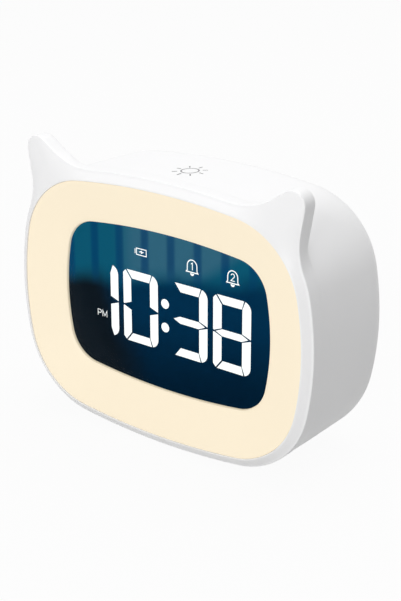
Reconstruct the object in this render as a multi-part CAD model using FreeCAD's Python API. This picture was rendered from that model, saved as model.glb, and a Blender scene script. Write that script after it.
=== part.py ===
import FreeCAD, Part
import math
import os

# Cat-eared bedside alarm clock with a ring-shaped night light, in millimetres.
# The face looks along -Y, +X is the viewer's right and +Z is up.
# The origin is on the table, under the middle of the clock.

# Overall form of the housing
FACE_WIDTH = 129.0
FACE_HEIGHT = 95.8
BODY_DEPTH = 53.0
SIDE_ARC_R = 100.0
CROWN_ARC_R = 283.0
CORNER_ARC_R = 32.0
BODY_DRAFT = 1.2
REAR_ROUND_R = 15.0
FOOT_PROUD = 0.8

# Walls of the housing
RIM_WIDTH = 3.5
RIM_SET_BACK = 1.9
RIM_RUN_OUT = 10.0
REAR_WALL = 3.8
CAVITY_BEVEL = 7.0

# Ears
EAR_TIP_INBOARD = 9.5
EAR_TIP_RISE = 2.5
EAR_TIP_R = 4.7
EAR_OUTER_LEAN = 5.3
EAR_INNER_SLOPE = 30.0
EAR_OUTER_SWEEP_R = 38.0
EAR_INNER_SWEEP_R = 18.0
EAR_THICK = 6.0
EAR_ROOT_R = 8.0

# Light ring and display window
RING_BAND = 15.6
RING_SET_BACK = 0.4
DISH_DEPTH = 5.2
RING_WALL = 2.0
RING_LIP = 0.1
LENS_THICK = 0.8
LENS_LEDGE = 1.5
LEDGE_THICK = 1.8
TAPE_THICK = 0.3
FIT_GAP = 0.15
SEAT_GAP = 0.02

# Numerals of the display
DIGIT_WIDTH = 15.8
DIGIT_HEIGHT = 26.6
DIGIT_CENTRES_X = (-29.1, -10.9, 10.9, 29.1)
DIGIT_CENTRE_Z = -0.95
UPRIGHT_STROKE = 3.6
LEVEL_STROKE = 3.05
STROKE_GAP = 0.52
LEFT_CORNER_CUT = 1.4
RIGHT_CORNER_R = 3.3
RIGHT_CUT_IN = 2.7
COLON_DOT_R = 1.75
COLON_X = 0.2
COLON_SPACING = 8.7
REFLECTOR_DEPTH = 9.1
GUIDE_DEPTH = 5.0

# Boards, tray and screws
BOARD_THICK = 1.6
TRAY_FLOOR = 1.6
TRAY_WALL = 1.2
TRAY_GAP = 0.5
LED_COUNT = 20
LED_SIZE = (3.5, 0.8, 2.8)
SCREW_R = 1.1
SCREW_HEAD_R = 2.2
SCREW_HEAD_H = 1.1
SCREW_SLOT = 0.5
BORE_GAP = 0.03
BOSS_R = 3.3

# Back cover and keys
COVER_THICK = 2.4
COVER_BORDER = 17.2
COVER_GAP = 0.15
COVER_LAND = 2.0
COVER_SCREW_EDGE = 5.0
KEY_CENTRES_X = {"set": -24.0, "alarm": -8.0, "minus": 8.0, "plus": 24.0}
KEY_ROW_Z = 13.0
KEY_LENGTH = 11.0
KEY_WIDTH = 6.0
KEY_PROUD = 0.8
KEY_EDGE = 0.4
KEY_FLANGE_STEP = 0.8
KEY_FLANGE = 0.9
KEY_TRAVEL = 0.5
KEY_CLEARANCE = 0.25
KEY_POCKET_DEPTH = 0.9
KEY_POCKET_MARGIN = 3.0
SWITCH_SIDE = 6.0
SWITCH_HEIGHT = 3.5
SWITCH_STEM_R = 1.7
SWITCH_STEM_PROUD = 1.5
SWITCH_STEM_SUNK = 1.0
MAIN_BOARD_BACK = 11.0
BOARD_HALF_X = 40.0
BOARD_TOP = 23.5
BOARD_BAR_LOW = 2.0
BOARD_LEG_X = -4.0
BOARD_LEG_LOW = -27.0
CHIP_BOXES = ((-17.0, 12.0, 10.0, 10.0, 1.5), (13.0, 10.0, 6.0, 4.0, 1.4), (-31.0, -9.0, 6.0, 6.0, 3.0))
CAPACITOR_X = 24.0
CAPACITOR_Z = 12.0
CAPACITOR_R = 3.1
CAPACITOR_H = 7.0

# Socket, loudspeaker, cell and touch plate
USB_X = -22.0
USB_Z = -19.0
USB_WIDTH = 8.94
USB_HEIGHT = 3.26
USB_SHELL = 0.3
USB_CLEARANCE = 0.3
USB_SET_BACK = 0.6
SPEAKER_X = 19.0
SPEAKER_Z = -11.0
SPEAKER_R = 14.0
SPEAKER_DEPTH = 9.0
GASKET_THICK = 0.5
GRILLE_HOLE_R = 1.1
GRILLE_PITCH = 4.2
CELL_R = 9.1
CELL_LENGTH = 65.0
CELL_Y = 0.6
CELL_EDGE = 0.7
CELL_CAP_R = 3.0
CELL_CAP_H = 0.9
CELL_END_GAP = 1.2
CELL_Z = -31.4
CRADLE_WALL = 1.6
TOUCH_Y = 20.0
TOUCH_PLATE_R = 8.0
TOUCH_PLATE_THICK = 0.25
LEAD_R = 0.7

# Feet
FOOT_R = 5.0
FOOT_SINK = 2.6
FOOT_EDGE = 0.5
FOOT_X = 24.0
FOOT_FRONT_Y = 15.0
FOOT_REAR_Y = 33.0

FRONT = -BODY_DEPTH / 2
REAR = BODY_DEPTH / 2
FACE_Z = FOOT_PROUD + FACE_HEIGHT / 2
EPS = 1.0
EAR_TIP = (FACE_WIDTH / 2 - EAR_TIP_INBOARD, FACE_HEIGHT / 2 + EAR_TIP_RISE)

LENS_FRONT = FRONT + DISH_DEPTH
LENS_BACK = LENS_FRONT + LENS_THICK
LENS_INSET = RIM_WIDTH + RING_BAND
LEDGE_FRONT = LENS_BACK + TAPE_THICK
LEDGE_BACK = LEDGE_FRONT + LEDGE_THICK
REFLECTOR_INSET = LENS_INSET + LENS_LEDGE + TRAY_GAP
TRAY_BACK = LENS_BACK + REFLECTOR_DEPTH
TRAY_FRONT = TRAY_BACK - TRAY_FLOOR
LIGHT_BOARD_FRONT = TRAY_FRONT - BOARD_THICK
MAIN_BOARD_REAR = REAR - MAIN_BOARD_BACK
MAIN_BOARD_FRONT = MAIN_BOARD_REAR - BOARD_THICK
COVER_INNER = REAR - COVER_THICK


def vec(x, y, z):
    return FreeCAD.Vector(x, y, z)


def unit(point, centre):
    length = math.hypot(point[0] - centre[0], point[1] - centre[1])
    return ((point[0] - centre[0]) / length, (point[1] - centre[1]) / length)


def along(centre, radius, direction):
    return (centre[0] + radius * direction[0], centre[1] + radius * direction[1])


# Outline of the face: eight tangent arcs. Every inset copy keeps the same centres.
SIDE_CENTRE = (FACE_WIDTH / 2 - SIDE_ARC_R, 0.0)
CROWN_CENTRE = (0.0, FACE_HEIGHT / 2 - CROWN_ARC_R)


def inner_tangent_centre():
    """Centre of the corner arc, which touches the side arc and the crown arc from inside."""
    to_side = SIDE_ARC_R - CORNER_ARC_R
    to_crown = CROWN_ARC_R - CORNER_ARC_R
    apart = math.hypot(SIDE_CENTRE[0], CROWN_CENTRE[1])
    ux, uz = unit(CROWN_CENTRE, SIDE_CENTRE)
    reach = (apart ** 2 + to_side ** 2 - to_crown ** 2) / (2 * apart)
    rise = math.sqrt(to_side ** 2 - reach ** 2)
    return (SIDE_CENTRE[0] + reach * ux - rise * uz, SIDE_CENTRE[1] + reach * uz + rise * ux)


CORNER_CENTRE = inner_tangent_centre()
SIDE_TO_CORNER = unit(CORNER_CENTRE, SIDE_CENTRE)
CROWN_TO_CORNER = unit(CORNER_CENTRE, CROWN_CENTRE)


class Outline:
    """A closed wire of lines and arcs in a plane of constant Y, mirrored as it is drawn."""

    def __init__(self, y):
        self.y = y
        self.edges = []

    def at(self, point):
        return vec(point[0], self.y, FACE_Z + point[1])

    def arc(self, centre, radius, start, end):
        mid = unit((start[0] + end[0], start[1] + end[1]), (0.0, 0.0))
        points = [self.at(along(centre, radius, d)) for d in (start, mid, end)]
        self.edges.append(Part.Arc(*points).toShape())

    def line(self, start, end):
        self.edges.append(Part.makeLine(self.at(start), self.at(end)))

    def wire(self):
        return Part.Wire(Part.__sortEdges__(self.edges))


def flip(pair, sx, sz):
    return (pair[0] * sx, pair[1] * sz)


def face_outline(inset, y):
    """The face's outline without ears, moved inwards by inset."""
    ring = Outline(y)
    for sx in (1, -1):
        up = flip(SIDE_TO_CORNER, sx, 1)
        ring.arc(flip(SIDE_CENTRE, sx, 1), SIDE_ARC_R - inset, flip(up, 1, -1), up)
        for sz in (1, -1):
            ring.arc(flip(CORNER_CENTRE, sx, sz), CORNER_ARC_R - inset,
                     flip(SIDE_TO_CORNER, sx, sz), flip(CROWN_TO_CORNER, sx, sz))
    for sz in (1, -1):
        right = flip(CROWN_TO_CORNER, 1, sz)
        ring.arc(flip(CROWN_CENTRE, 1, sz), CROWN_ARC_R - inset, right, flip(right, -1, 1))
    return ring.wire()


def sweep_centre(normal, towards, sweep_r, base_centre, base_r):
    """Centre of a hollow arc that joins a straight ear flank to a round arc of the face."""
    start = along(EAR_TIP, EAR_TIP_R + sweep_r, normal)
    px, pz = start[0] - base_centre[0], start[1] - base_centre[1]
    half = px * towards[0] + pz * towards[1]
    rest = px ** 2 + pz ** 2 - (base_r + sweep_r) ** 2
    run = -half - math.sqrt(half ** 2 - rest)
    if run < 0:
        run = -half + math.sqrt(half ** 2 - rest)
    return along(start, run, towards)


def ear_normals():
    """Outward normals of the right ear's outer and inner flanks."""
    lean = math.radians(EAR_OUTER_LEAN)
    slope = math.radians(EAR_INNER_SLOPE)
    return (math.cos(lean), -math.sin(lean)), (-math.sin(slope), math.cos(slope))


def ear_sweep_centres():
    outer_normal, inner_normal = ear_normals()
    outer_down = (outer_normal[1], -outer_normal[0])
    inner_down = (-inner_normal[1], inner_normal[0])
    outer = sweep_centre(outer_normal, outer_down, EAR_OUTER_SWEEP_R, CORNER_CENTRE, CORNER_ARC_R)
    inner = sweep_centre(inner_normal, inner_down, EAR_INNER_SWEEP_R, CROWN_CENTRE, CROWN_ARC_R)
    return outer, inner


def ear_outline(inset, y):
    """The face's outline with both ears, moved inwards by inset."""
    outer_normal, inner_normal = ear_normals()
    outer, inner = ear_sweep_centres()
    tip_r = EAR_TIP_R - inset
    outer_r = EAR_OUTER_SWEEP_R + inset
    inner_r = EAR_INNER_SWEEP_R + inset
    on_corner = unit(outer, CORNER_CENTRE)
    on_crown = unit(inner, CROWN_CENTRE)
    back_outer = flip(outer_normal, -1, -1)
    back_inner = flip(inner_normal, -1, -1)
    ring = Outline(y)
    for sx in (1, -1):
        def m(pair):
            return flip(pair, sx, 1)
        up = m(SIDE_TO_CORNER)
        ring.arc(m(SIDE_CENTRE), SIDE_ARC_R - inset, flip(up, 1, -1), up)
        ring.arc(flip(CORNER_CENTRE, sx, -1), CORNER_ARC_R - inset,
                 flip(SIDE_TO_CORNER, sx, -1), flip(CROWN_TO_CORNER, sx, -1))
        ring.arc(m(CORNER_CENTRE), CORNER_ARC_R - inset, up, m(on_corner))
        ring.arc(m(outer), outer_r, m(flip(on_corner, -1, -1)), m(back_outer))
        ring.line(m(along(outer, outer_r, back_outer)), m(along(EAR_TIP, tip_r, outer_normal)))
        ring.arc(m(EAR_TIP), tip_r, m(outer_normal), m(inner_normal))
        ring.line(m(along(EAR_TIP, tip_r, inner_normal)), m(along(inner, inner_r, back_inner)))
        ring.arc(m(inner), inner_r, m(back_inner), m(flip(on_crown, -1, -1)))
    ring.arc(CROWN_CENTRE, CROWN_ARC_R - inset, on_crown, flip(on_crown, -1, 1))
    low = flip(CROWN_TO_CORNER, 1, -1)
    ring.arc(flip(CROWN_CENTRE, 1, -1), CROWN_ARC_R - inset, low, flip(low, -1, 1))
    return ring.wire()


def prism(wire, y0, y1):
    solid = Part.Face(wire).extrude(vec(0, y1 - y0, 0))
    return solid


def slab(inset, y0, y1):
    """Solid plate with the face's outline, from y0 to y1."""
    return prism(face_outline(inset, y0), y0, y1)


def taper(wire0, wire1):
    return Part.makeLoft([wire0, wire1], True, True)


def rod(x, z, radius, y0, y1):
    """Round bar along Y, placed from the middle of the face."""
    return Part.makeCylinder(radius, y1 - y0, vec(x, y0, FACE_Z + z), vec(0, 1, 0))


def block(x0, x1, y0, y1, z0, z1):
    """Box placed from the middle of the face."""
    return Part.makeBox(x1 - x0, y1 - y0, z1 - z0, vec(x0, y0, FACE_Z + z0))


def edges_at(solid, y):
    """The edges that lie in the plane of constant Y."""
    box_hit = []
    for edge in solid.Edges:
        box = edge.BoundBox
        if abs(box.YMin - y) < 1e-4 and abs(box.YMax - y) < 1e-4:
            box_hit.append(edge)
    return box_hit


def corner_points(reach):
    """Four points at reach from the corner arcs' centres, on the diagonals."""
    diagonal = math.sqrt(0.5)
    point = along(CORNER_CENTRE, reach, (diagonal, diagonal))
    return [flip(point, sx, sz) for sx in (1, -1) for sz in (1, -1)]


COVER_SCREWS = corner_points(CORNER_ARC_R - COVER_BORDER - COVER_SCREW_EDGE)
TRAY_SCREWS = corner_points(CORNER_ARC_R - RIM_WIDTH - TRAY_GAP - 2 * TRAY_WALL - SCREW_HEAD_R)
BOARD_POSTS = [(-36.0, 5.5), (36.0, 5.5), (0.0, 20.5), (-9.5, -24.0)]
BOARD_POST_R = 2.6


def draft_at(y):
    """How far the drafted side has moved in at depth y."""
    start = FRONT + EAR_THICK
    return BODY_DRAFT * (y - start) / (REAR - start)


def ear_root():
    """Hollow round fillet that carries the ears' backs into the body's upper corners."""
    start = FRONT + EAR_THICK
    end = start + EAR_ROOT_R
    base_r = CORNER_ARC_R - draft_at(end)
    centre_r = base_r + EAR_ROOT_R
    deep_r = base_r - RIM_WIDTH / 2
    cx = CORNER_CENTRE[0]
    cz = FACE_Z + CORNER_CENTRE[1]
    half = math.sqrt(0.5) * EAR_ROOT_R
    points = [vec(cx + deep_r, start - EPS, cz), vec(cx + centre_r, start - EPS, cz),
              vec(cx + centre_r, start, cz), vec(cx + base_r, end, cz), vec(cx + deep_r, end, cz)]
    hollow = Part.Arc(points[2], vec(cx + centre_r - half, end - half, cz), points[3]).toShape()
    edges = [Part.makeLine(points[0], points[1]), Part.makeLine(points[1], points[2]), hollow,
             Part.makeLine(points[3], points[4]), Part.makeLine(points[4], points[0])]
    ring = Part.Face(Part.Wire(edges)).revolve(vec(cx, 0, cz), vec(0, -1, 0), 90)
    limit = taper(ear_outline(0.0, start - EPS), ear_outline(draft_at(end), end))
    right = ring.common(limit)
    left = right.mirror(vec(0, 0, 0), vec(1, 0, 0))
    return right, left


def ear_bounds():
    """Where the right ear's flanks meet the face: a point, its outward normal and the way off the ear."""
    outer, inner = ear_sweep_centres()
    low = unit(outer, CORNER_CENTRE)
    high = unit(inner, CROWN_CENTRE)
    return ((along(CORNER_CENTRE, CORNER_ARC_R, low), low, (low[1], -low[0])),
            (along(CROWN_CENTRE, CROWN_ARC_R, high), high, (-high[1], high[0])))


def behind_run_out(point, normal, away):
    """Wedge of space behind a slanted plane that lets the rim's bevel die out towards an ear."""
    slope = RIM_SET_BACK / RIM_RUN_OUT
    far = FACE_WIDTH
    deep = 2 * RIM_SET_BACK
    profile = ((-far, -slope * far), (deep / slope, deep), (-far, deep))
    corners = []
    for reach, depth in profile:
        foot = along(along(point, -far, normal), reach - RIM_RUN_OUT / 2, away)
        corners.append(vec(foot[0], FRONT + depth, FACE_Z + foot[1]))
    sheet = Part.Face(Part.makePolygon(corners + corners[:1]))
    return sheet.extrude(vec(normal[0], 0, normal[1]) * (2 * far))


def rim_bevel():
    """What the conical bevel takes off round the rim; it dies out before each ear."""
    end = FRONT + RIM_SET_BACK
    around = block(-FACE_WIDTH, FACE_WIDTH, FRONT - EPS, end, -FACE_HEIGHT, FACE_HEIGHT)
    bevel = around.cut([taper(face_outline(RIM_WIDTH, FRONT), face_outline(0.0, end)),
                        slab(RIM_WIDTH, FRONT - EPS, FRONT)])
    low, high = [behind_run_out(*bound) for bound in ear_bounds()]
    right = low.common(high)
    left = right.mirror(vec(0, 0, 0), vec(1, 0, 0))
    return bevel.cut([right, left])


def housing_outside():
    """Front plate with ears, drafted body with its rounded back, and the ears' roots."""
    start = FRONT + EAR_THICK
    plate = prism(ear_outline(0.0, FRONT), FRONT, start).cut(rim_bevel())
    body = taper(face_outline(0.0, start), face_outline(BODY_DRAFT, REAR))
    body = body.makeFillet(REAR_ROUND_R, edges_at(body, REAR))
    right, left = ear_root()
    return plate.fuse([body, right, left])


def housing_cavity():
    """Room inside the housing, open to the front, with its back edge bevelled."""
    end = REAR - REAR_WALL
    room = slab(RIM_WIDTH, FRONT - EPS, end)
    return room.makeChamfer(CAVITY_BEVEL, edges_at(room, end))


def tray_rib(point):
    """Post with a screw bore that stands along the inside of a corner, with a web to the wall."""
    x, z = point
    sx = math.copysign(1, x)
    sz = math.copysign(1, z)
    end = REAR - REAR_ROUND_R
    post = rod(x, z, BOSS_R, TRAY_BACK, end)
    reach = RIM_WIDTH + 2 * BOSS_R
    web_half = 1.1
    web = Part.makeBox(reach, end - TRAY_BACK, 2 * web_half, vec(0, TRAY_BACK, -web_half))
    web.rotate(vec(0, 0, 0), vec(0, 1, 0), -math.degrees(math.atan2(sz, sx)))
    web.translate(vec(x, 0, FACE_Z + z))
    return post.fuse(web)


def screw(x, z, head_y, length, direction, crossed=False):
    """Flat-headed screw; direction is +1 when it drives towards +Y."""
    head_end = head_y - direction * SCREW_HEAD_H
    head = rod(x, z, SCREW_HEAD_R, min(head_y, head_end), max(head_y, head_end))
    tip = head_y + direction * length
    shank = rod(x, z, SCREW_R, min(head_y, tip), max(head_y, tip))
    whole = head.fuse(shank)
    if crossed:
        floor = head_end + direction * SCREW_HEAD_H * 0.6
        y0, y1 = sorted((head_end - direction * EPS, floor))
        half = SCREW_SLOT / 2
        arm = SCREW_HEAD_R * 0.6
        bar = block(x - arm, x + arm, y0, y1, z - half, z + half)
        post = block(x - half, x + half, y0, y1, z - arm, z + arm)
        whole = whole.cut(bar.fuse(post))
    return whole


FOOT_PLACES = [(sx * FOOT_X, y) for sx in (1, -1) for y in (FOOT_FRONT_Y, FOOT_REAR_Y)]
FOOT_TOP = FOOT_PROUD + FOOT_SINK
TRAY_SCREW_LENGTH = 8.0
COVER_SCREW_LENGTH = 7.0
COVER_BOSS_LENGTH = 6.4
COVER_COUNTERBORE = 1.3


def main_shell():
    """Outer moulding: walls, ears, posts for the tray and bosses for the back cover."""
    outside = housing_outside()
    shell = outside.cut(housing_cavity())
    ribs = [tray_rib(p).common(slab(RIM_WIDTH / 2, FRONT, REAR - REAR_WALL)) for p in TRAY_SCREWS]
    land = COVER_BORDER + COVER_LAND
    way = slab(land, REAR - 2 * REAR_WALL, REAR + EPS)
    seat = slab(COVER_BORDER, COVER_INNER, REAR + EPS)
    lobes = [rod(x, z, BOSS_R, COVER_INNER - COVER_BOSS_LENGTH, COVER_INNER) for x, z in COVER_SCREWS]
    shell = shell.cut([way, seat]).fuse(ribs + lobes)
    bore = SCREW_R + BORE_GAP
    bores = [rod(x, z, bore, TRAY_BACK - EPS, TRAY_BACK + TRAY_SCREW_LENGTH) for x, z in TRAY_SCREWS]
    bores += [rod(x, z, bore, COVER_INNER - COVER_SCREW_LENGTH, REAR) for x, z in COVER_SCREWS]
    sockets = [Part.makeCylinder(FOOT_R + FIT_GAP, FOOT_TOP, vec(x, FRONT + y, 0)) for x, y in FOOT_PLACES]
    return shell.cut(bores + sockets).removeSplitter()


def light_ring():
    """Opal diffuser: a shallow dish with a skirt outside and a ledge for the window inside."""
    face_inset = RIM_WIDTH + FIT_GAP
    front = FRONT + RING_SET_BACK
    inner_front = LENS_FRONT - RING_LIP
    blank = slab(face_inset, front, LEDGE_BACK)
    dish = taper(face_outline(face_inset, front), face_outline(LENS_INSET, inner_front))
    opening = slab(LENS_INSET, front - EPS, LEDGE_FRONT)
    ledge_way = slab(LENS_INSET + LENS_LEDGE, front - EPS, LEDGE_BACK + EPS)
    back = taper(face_outline(face_inset + RING_WALL, front + RING_WALL),
                 face_outline(LENS_INSET - RING_WALL, inner_front + RING_WALL))
    below = slab(face_inset + RING_WALL, front + RING_WALL, LEDGE_BACK + EPS)
    core = slab(LENS_INSET - RING_WALL, front, LEDGE_BACK + EPS)
    hollow = below.cut(back).cut(core)
    return blank.cut([dish, opening, ledge_way, hollow])


def lens_tape():
    outer = slab(LENS_INSET + FIT_GAP, LENS_BACK, LEDGE_FRONT)
    return outer.cut(slab(LENS_INSET + LENS_LEDGE - FIT_GAP, LENS_BACK - EPS, LEDGE_FRONT + EPS))


# Seven-segment numerals
SEGMENTS_OF = {"0": "abcdef", "1": "bc", "3": "abcdg", "8": "abcdefg"}
SHOWN = ("1", "0", "3", "8")


def polygon_plate(points, cx, cz, y0, y1):
    corners = [vec(cx + x, y0, FACE_Z + cz + z) for x, z in points]
    return Part.Face(Part.makePolygon(corners + corners[:1])).extrude(vec(0, y1 - y0, 0))


def upright_plate(sz, cx, y0, y1):
    """Right-hand upright stroke, whose outer corner is round; sz is 1 above and -1 below."""
    hw = DIGIT_WIDTH / 2
    hh = DIGIT_HEIGHT / 2
    half_gap = STROKE_GAP / 2
    round_x = hw - RIGHT_CORNER_R
    round_z = hh - RIGHT_CORNER_R
    lead_x = hw - RIGHT_CUT_IN + half_gap - round_x
    lead_z = math.sqrt(RIGHT_CORNER_R ** 2 - lead_x ** 2)

    def at(x, z):
        return vec(cx + x, y0, FACE_Z + DIGIT_CENTRE_Z + sz * z)
    diagonal = RIGHT_CORNER_R * math.sqrt(0.5)
    start = at(round_x + lead_x, round_z + lead_z)
    end = at(hw, round_z)
    corner = Part.Arc(start, at(round_x + diagonal, round_z + diagonal), end).toShape()
    rest = [end, at(hw, half_gap), at(hw - UPRIGHT_STROKE, LEVEL_STROKE / 2),
            at(hw - UPRIGHT_STROKE, hh - LEVEL_STROKE), start]
    edges = [corner] + [Part.makeLine(p, q) for p, q in zip(rest, rest[1:])]
    return Part.Face(Part.Wire(edges)).extrude(vec(0, y1 - y0, 0))


def segment_points():
    """Corner points of the straight-sided strokes about the digit's middle."""
    hw = DIGIT_WIDTH / 2
    hh = DIGIT_HEIGHT / 2
    half_gap = STROKE_GAP / 2
    inner_x = hw - UPRIGHT_STROKE
    inner_z = hh - LEVEL_STROKE
    half_bar = LEVEL_STROKE / 2
    cut = LEFT_CORNER_CUT
    level = [(-hw + cut + half_gap, hh), (hw - RIGHT_CUT_IN - half_gap, hh), (inner_x - half_gap, inner_z),
             (-inner_x + 2 * half_gap, inner_z)]
    upright = [(-hw, hh - cut), (-hw + cut - half_gap, hh - half_gap), (-inner_x, inner_z - half_gap),
               (-inner_x, half_bar), (-hw + half_gap, half_gap), (-hw, 2 * half_gap)]
    tip = hw - 4 * half_gap
    bar = [(inner_x - half_gap, half_bar - half_gap), (tip, 0), (inner_x - half_gap, half_gap - half_bar),
           (-inner_x + half_gap, half_gap - half_bar), (-tip, 0), (-inner_x + half_gap, half_bar - half_gap)]
    return {
        "a": level,
        "d": [flip(p, 1, -1) for p in level],
        "e": [flip(p, 1, -1) for p in upright],
        "f": upright,
        "g": bar,
    }


def digit_plates(y0, y1):
    shapes = segment_points()
    plates = []
    for numeral, cx in zip(SHOWN, DIGIT_CENTRES_X):
        for name in SEGMENTS_OF[numeral]:
            if name in shapes:
                plates.append(polygon_plate(shapes[name], cx, DIGIT_CENTRE_Z, y0, y1))
            else:
                plates.append(upright_plate(1 if name == "b" else -1, cx, y0, y1))
    return plates


def colon_plates(y0, y1):
    heights = (DIGIT_CENTRE_Z + COLON_SPACING / 2, DIGIT_CENTRE_Z - COLON_SPACING / 2)
    return [rod(COLON_X, z, COLON_DOT_R, y0, y1) for z in heights]


# Small lit signs: middle and half sizes of the charge, alarm and afternoon windows
SIGN_WINDOWS = [(-10.8, 19.8, 3.0, 1.4), (12.3, 19.3, 2.8, 3.3), (29.4, 19.3, 2.8, 3.3),
                (-29.1, -7.0, 2.6, 1.5)]


def sign_plates(y0, y1):
    return [block(x - hx, x + hx, y0, y1, z - hz, z + hz) for x, z, hx, hz in SIGN_WINDOWS]


MASK_THICK = 0.2
MASK_FRONT = LENS_BACK
MASK_BACK = MASK_FRONT + MASK_THICK


def display_mask():
    """Tinted film on the window's back, cut out over each stroke, dot and sign."""
    film = slab(LENS_INSET + LENS_LEDGE, MASK_FRONT, MASK_BACK)
    y0, y1 = MASK_FRONT - EPS, MASK_BACK + EPS
    return film.cut(digit_plates(y0, y1) + colon_plates(y0, y1) + sign_plates(y0, y1))


def display_reflector():
    """Black cell block behind the window, with one light well for each stroke."""
    block_body = slab(REFLECTOR_INSET, MASK_BACK, TRAY_BACK)
    y0, y1 = MASK_BACK - EPS, TRAY_BACK + EPS
    return block_body.cut(digit_plates(y0, y1) + colon_plates(y0, y1) + sign_plates(y0, y1))


def light_tray():
    """White moulded tray that holds the ring's lamps and carries the display."""
    outer_inset = RIM_WIDTH + TRAY_GAP
    tray = slab(outer_inset, LEDGE_BACK, TRAY_BACK)
    trough = slab(outer_inset + TRAY_WALL, LEDGE_BACK - EPS, TRAY_FRONT)
    core = slab(REFLECTOR_INSET - FIT_GAP - TRAY_WALL, LEDGE_BACK - EPS, TRAY_FRONT)
    opening = slab(REFLECTOR_INSET - FIT_GAP, LEDGE_BACK - EPS, TRAY_BACK + EPS)
    bores = [rod(x, z, SCREW_R + FIT_GAP, TRAY_FRONT - EPS, TRAY_BACK + EPS) for x, z in TRAY_SCREWS]
    bores += [
        rod(x, z, SCREW_R + BORE_GAP, TRAY_FRONT - 2 * EPS, TRAY_BACK + EPS) for x, z in DISPLAY_SCREWS
    ]
    return tray.cut(trough.cut(core)).cut([opening] + bores)


def light_board():
    """Ring-shaped lamp board that lies on the tray's floor."""
    outer = RIM_WIDTH + TRAY_GAP + TRAY_WALL + FIT_GAP
    inner = REFLECTOR_INSET - FIT_GAP - TRAY_WALL - FIT_GAP
    ring = slab(outer, LIGHT_BOARD_FRONT, TRAY_FRONT)
    hole = slab(inner, LIGHT_BOARD_FRONT - EPS, TRAY_FRONT + EPS)
    bores = [rod(x, z, SCREW_R + FIT_GAP, LIGHT_BOARD_FRONT - EPS, TRAY_FRONT + EPS)
             for x, z in TRAY_SCREWS]
    return ring.cut([hole] + bores)


def light_leds():
    """Warm white lamps spaced evenly round the middle of the lamp board."""
    path = face_outline(RIM_WIDTH + RING_BAND * 0.62, LIGHT_BOARD_FRONT)
    width, height, length = LED_SIZE
    lamps = []
    for point in path.discretize(Number=LED_COUNT + 1)[:LED_COUNT]:
        lamps.append(Part.makeBox(width, height, length,
                                  vec(point.x - width / 2, LIGHT_BOARD_FRONT - height,
                                      point.z - length / 2)))
    return Part.makeCompound(lamps)


DISPLAY_BOARD_BACK = TRAY_BACK + BOARD_THICK
DISPLAY_BOARD_INSET = REFLECTOR_INSET - 4.0
DISPLAY_SCREWS = [(sx * 31.0, sz * 28.3) for sx in (1, -1) for sz in (1, -1)]
DISPLAY_SCREW_LENGTH = 2.6


def display_board():
    board = slab(DISPLAY_BOARD_INSET, TRAY_BACK, DISPLAY_BOARD_BACK)
    bores = [rod(x, z, SCREW_R + FIT_GAP, TRAY_BACK - EPS, DISPLAY_BOARD_BACK + EPS)
             for x, z in DISPLAY_SCREWS]
    return board.cut(bores)


def main_board():
    """L-shaped board: a bar behind the keys and a leg down to the charging socket."""
    y0, y1 = MAIN_BOARD_FRONT, MAIN_BOARD_REAR
    bar = block(-BOARD_HALF_X, BOARD_HALF_X, y0, y1, BOARD_BAR_LOW, BOARD_TOP)
    leg = block(-BOARD_HALF_X, BOARD_LEG_X, y0, y1, BOARD_LEG_LOW, BOARD_BAR_LOW + EPS)
    board = bar.fuse(leg).removeSplitter()
    bores = [rod(x, z, SCREW_R + FIT_GAP, y0 - EPS, y1 + EPS) for x, z in BOARD_POSTS]
    return board.cut(bores)


def board_parts():
    """Controller, clock chip, charge coil and memory cap on the front of the main board."""
    y = MAIN_BOARD_FRONT
    parts = [
        block(x - w / 2, x + w / 2, y - thick, y, z - h / 2, z + h / 2)
        for x, z, w, h, thick in CHIP_BOXES
    ]
    parts.append(rod(CAPACITOR_X, CAPACITOR_Z, CAPACITOR_R, y - CAPACITOR_H, y))
    return Part.makeCompound(parts)


def switch_bases():
    """Tact switches on the rear of the main board, each bored for its stem."""
    bases = []
    half = SWITCH_SIDE / 2
    top = MAIN_BOARD_REAR + SWITCH_HEIGHT
    for x in KEY_CENTRES_X.values():
        base = block(x - half, x + half, MAIN_BOARD_REAR, top, KEY_ROW_Z - half, KEY_ROW_Z + half)
        well = SWITCH_STEM_SUNK + KEY_TRAVEL + KEY_CLEARANCE
        bore = rod(x, KEY_ROW_Z, SWITCH_STEM_R + KEY_CLEARANCE, top - well, top + EPS)
        bases.append(base.cut(bore))
    return Part.makeCompound(bases)


SWITCH_TOP = MAIN_BOARD_REAR + SWITCH_HEIGHT
STEM_END = SWITCH_TOP + SWITCH_STEM_PROUD
FLANGE_REAR = COVER_INNER - KEY_CLEARANCE


def switch_stem(x):
    return rod(x, KEY_ROW_Z, SWITCH_STEM_R, SWITCH_TOP - SWITCH_STEM_SUNK, STEM_END)


def oval(x, z, length, width, y0, y1):
    """Plate with round ends, long along X."""
    r = width / 2
    run = length / 2 - r
    middle = block(x - run, x + run, y0, y1, z - r, z + r)
    ends = [rod(x + s * run, z, r, y0, y1) for s in (1, -1)]
    return middle.fuse(ends).removeSplitter()


def key(x):
    """Rear key: an oval cap with a softened edge, a flange inside the cover and a post."""
    cap_end = REAR - KEY_POCKET_DEPTH + KEY_PROUD
    cap = oval(x, KEY_ROW_Z, KEY_LENGTH, KEY_WIDTH, FLANGE_REAR - KEY_FLANGE, cap_end)
    cap = cap.makeChamfer(KEY_EDGE, edges_at(cap, cap_end))
    grow = 2 * KEY_FLANGE_STEP
    flange = oval(x, KEY_ROW_Z, KEY_LENGTH + grow, KEY_WIDTH + grow, FLANGE_REAR - KEY_FLANGE, FLANGE_REAR)
    post = rod(x, KEY_ROW_Z, SWITCH_STEM_R, STEM_END, FLANGE_REAR)
    return cap.fuse([flange, post]).removeSplitter()


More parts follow.
